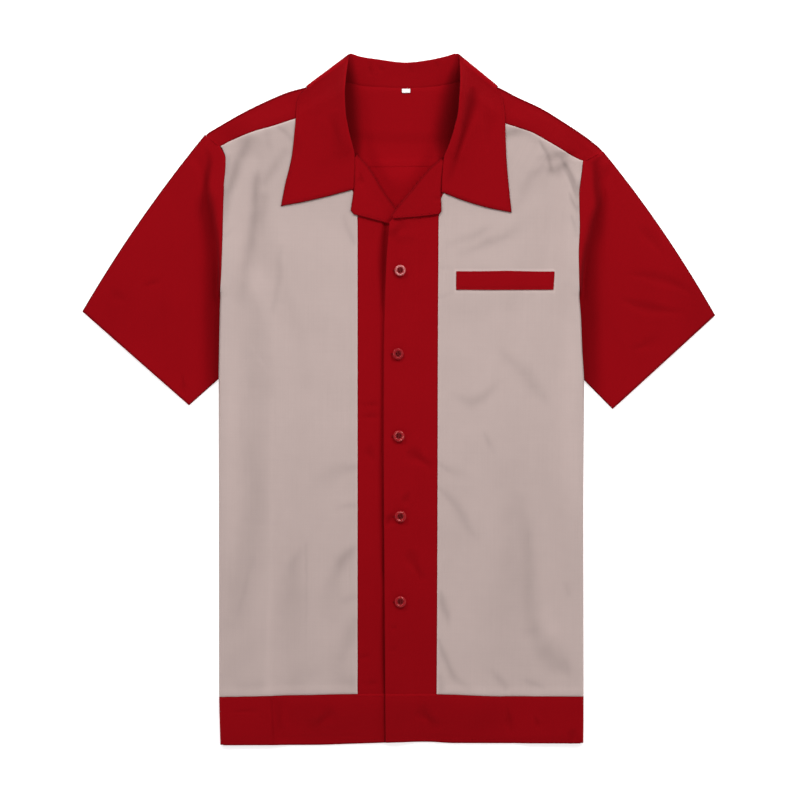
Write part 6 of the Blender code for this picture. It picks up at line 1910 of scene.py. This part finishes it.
# ---------------------------------------------------------------- sheets
SHEETS = {  # flat width and length in metres, how it lies
    "back_body_cloth": (0.50, 0.57, "laid", ["yoke_cloth"]),
    "yoke_cloth": (0.44, 0.15, "folded", ["collar_cloth"]),
    "front_panel_cloth_right": (0.20, 0.635, "laid", ["back_body_cloth"]),
    "front_panel_cloth_left": (0.20, 0.63, "laid", ["back_body_cloth"]),
    "placket_cloth_right": (0.06, 0.58, "laid", ["back_body_cloth"]),
    "placket_cloth_left": (0.07, 0.58, "laid", ["placket_cloth_right"]),
    "lapel_cloth_right": (0.05, 0.08, "folded", ["placket_cloth_right"]),
    "lapel_cloth_left": (0.05, 0.08, "folded", ["placket_cloth_left"]),
    "sleeve_cloth_right": (0.40, 0.23, "laid", ["back_body_cloth"]),
    "sleeve_cloth_left": (0.40, 0.23, "laid", ["back_body_cloth"]),
    "band_back_cloth": (0.50, 0.056, "laid", []),
    "band_front_cloth_right": (0.26, 0.066, "laid", ["band_back_cloth"]),
    "band_front_cloth_left": (0.29, 0.066, "laid", ["band_front_cloth_right"]),
    "collar_cloth": (0.56, 0.125, "folded", ["yoke_cloth"]),
    "welt_cloth": (0.105, 0.020, "laid", ["front_panel_cloth_left"]),
    "size_label_tape": (0.009, 0.005, "laid", ["yoke_cloth"]),
}
for name, (w, l, held, rests) in SHEETS.items():
    w = max(w, 0.0101)
    l = max(l, 0.0101)


# ---------------------------------------------------------------- stage
def floor():
    v = np.array([(-4000, -4000, 0), (4000, -4000, 0), (4000, 4000, 0), (-4000, 4000, 0)], float)
    obj = mesh_object("floor", v, [(0, 1, 2, 3)])
    obj.location.z = -0.00004
    mat = bpy.data.materials.new("floor")
    mat.use_nodes = True
    nt = mat.node_tree
    bsdf = nt.nodes["Principled BSDF"]
    bsdf.inputs["Base Color"].default_value = (0.93, 0.93, 0.93, 1)
    bsdf.inputs["Roughness"].default_value = 0.9
    bsdf.inputs["Specular IOR Level"].default_value = 0.1
    bsdf.inputs["Emission Color"].default_value = (1, 1, 1, 1)
    bsdf.inputs["Emission Strength"].default_value = 0.45
    obj.data.materials.append(mat)


def area_light(name, location, target, size, power, colour=(1, 1, 1)):
    light = bpy.data.lights.new(name, "AREA")
    light.shape = "RECTANGLE"
    light.size, light.size_y = size
    light.energy = power
    light.color = colour
    obj = bpy.data.objects.new(name, light)
    obj.location = location
    aim = np.array(target) - np.array(location)
    from mathutils import Vector
    obj.rotation_mode = "QUATERNION"
    obj.rotation_quaternion = Vector(aim).to_track_quat("-Z", "Y")
    bpy.context.scene.collection.objects.link(obj)
    return obj


floor()
area_light("key", (0.80, 1.40, 1.30), (0.0, 0.05, 0.0), (0.7, 0.7), 19.0)
area_light("fill", (-0.80, 1.40, 1.30), (0.0, 0.05, 0.0), (0.7, 0.7), 14.0)
glint = area_light("overhead", (0.0, 0.05, 4.3), (0.0, 0.05, 0.0), (0.85, 0.85), 26.0)
glint.data.shape = "DISK"
world = bpy.data.worlds.new("studio")
world.use_nodes = True
wt = world.node_tree
coord = wt.nodes.new("ShaderNodeTexCoord")
split = wt.nodes.new("ShaderNodeSeparateXYZ")
ramp = wt.nodes.new("ShaderNodeValToRGB")
stops = ramp.color_ramp.elements
stops[0].position, stops[0].color = 0.35, (1, 1, 1, 1)
stops[1].position, stops[1].color = 1.0, (0.06, 0.06, 0.06, 1)
middle = stops.new(0.70)
middle.color = (0.25, 0.25, 0.25, 1)
wt.links.new(coord.outputs["Generated"], split.inputs[0])
wt.links.new(split.outputs[2], ramp.inputs[0])
wt.links.new(ramp.outputs[0], wt.nodes["Background"].inputs["Color"])
wt.nodes["Background"].inputs["Strength"].default_value = 1.12
bpy.context.scene.world = world

cam = bpy.data.cameras.new("camera")
cam.sensor_width = 36.0
cam.lens = 150.0
cam_obj = bpy.data.objects.new("camera", cam)
cam_obj.location = (0.0013, -0.00027, 3.6)
bpy.context.scene.collection.objects.link(cam_obj)
bpy.context.scene.camera = cam_obj
cam.clip_start, cam.clip_end = 0.1, 50.0
bpy.context.scene.view_settings.view_transform = "Standard"
bpy.context.scene.view_settings.look = "None"
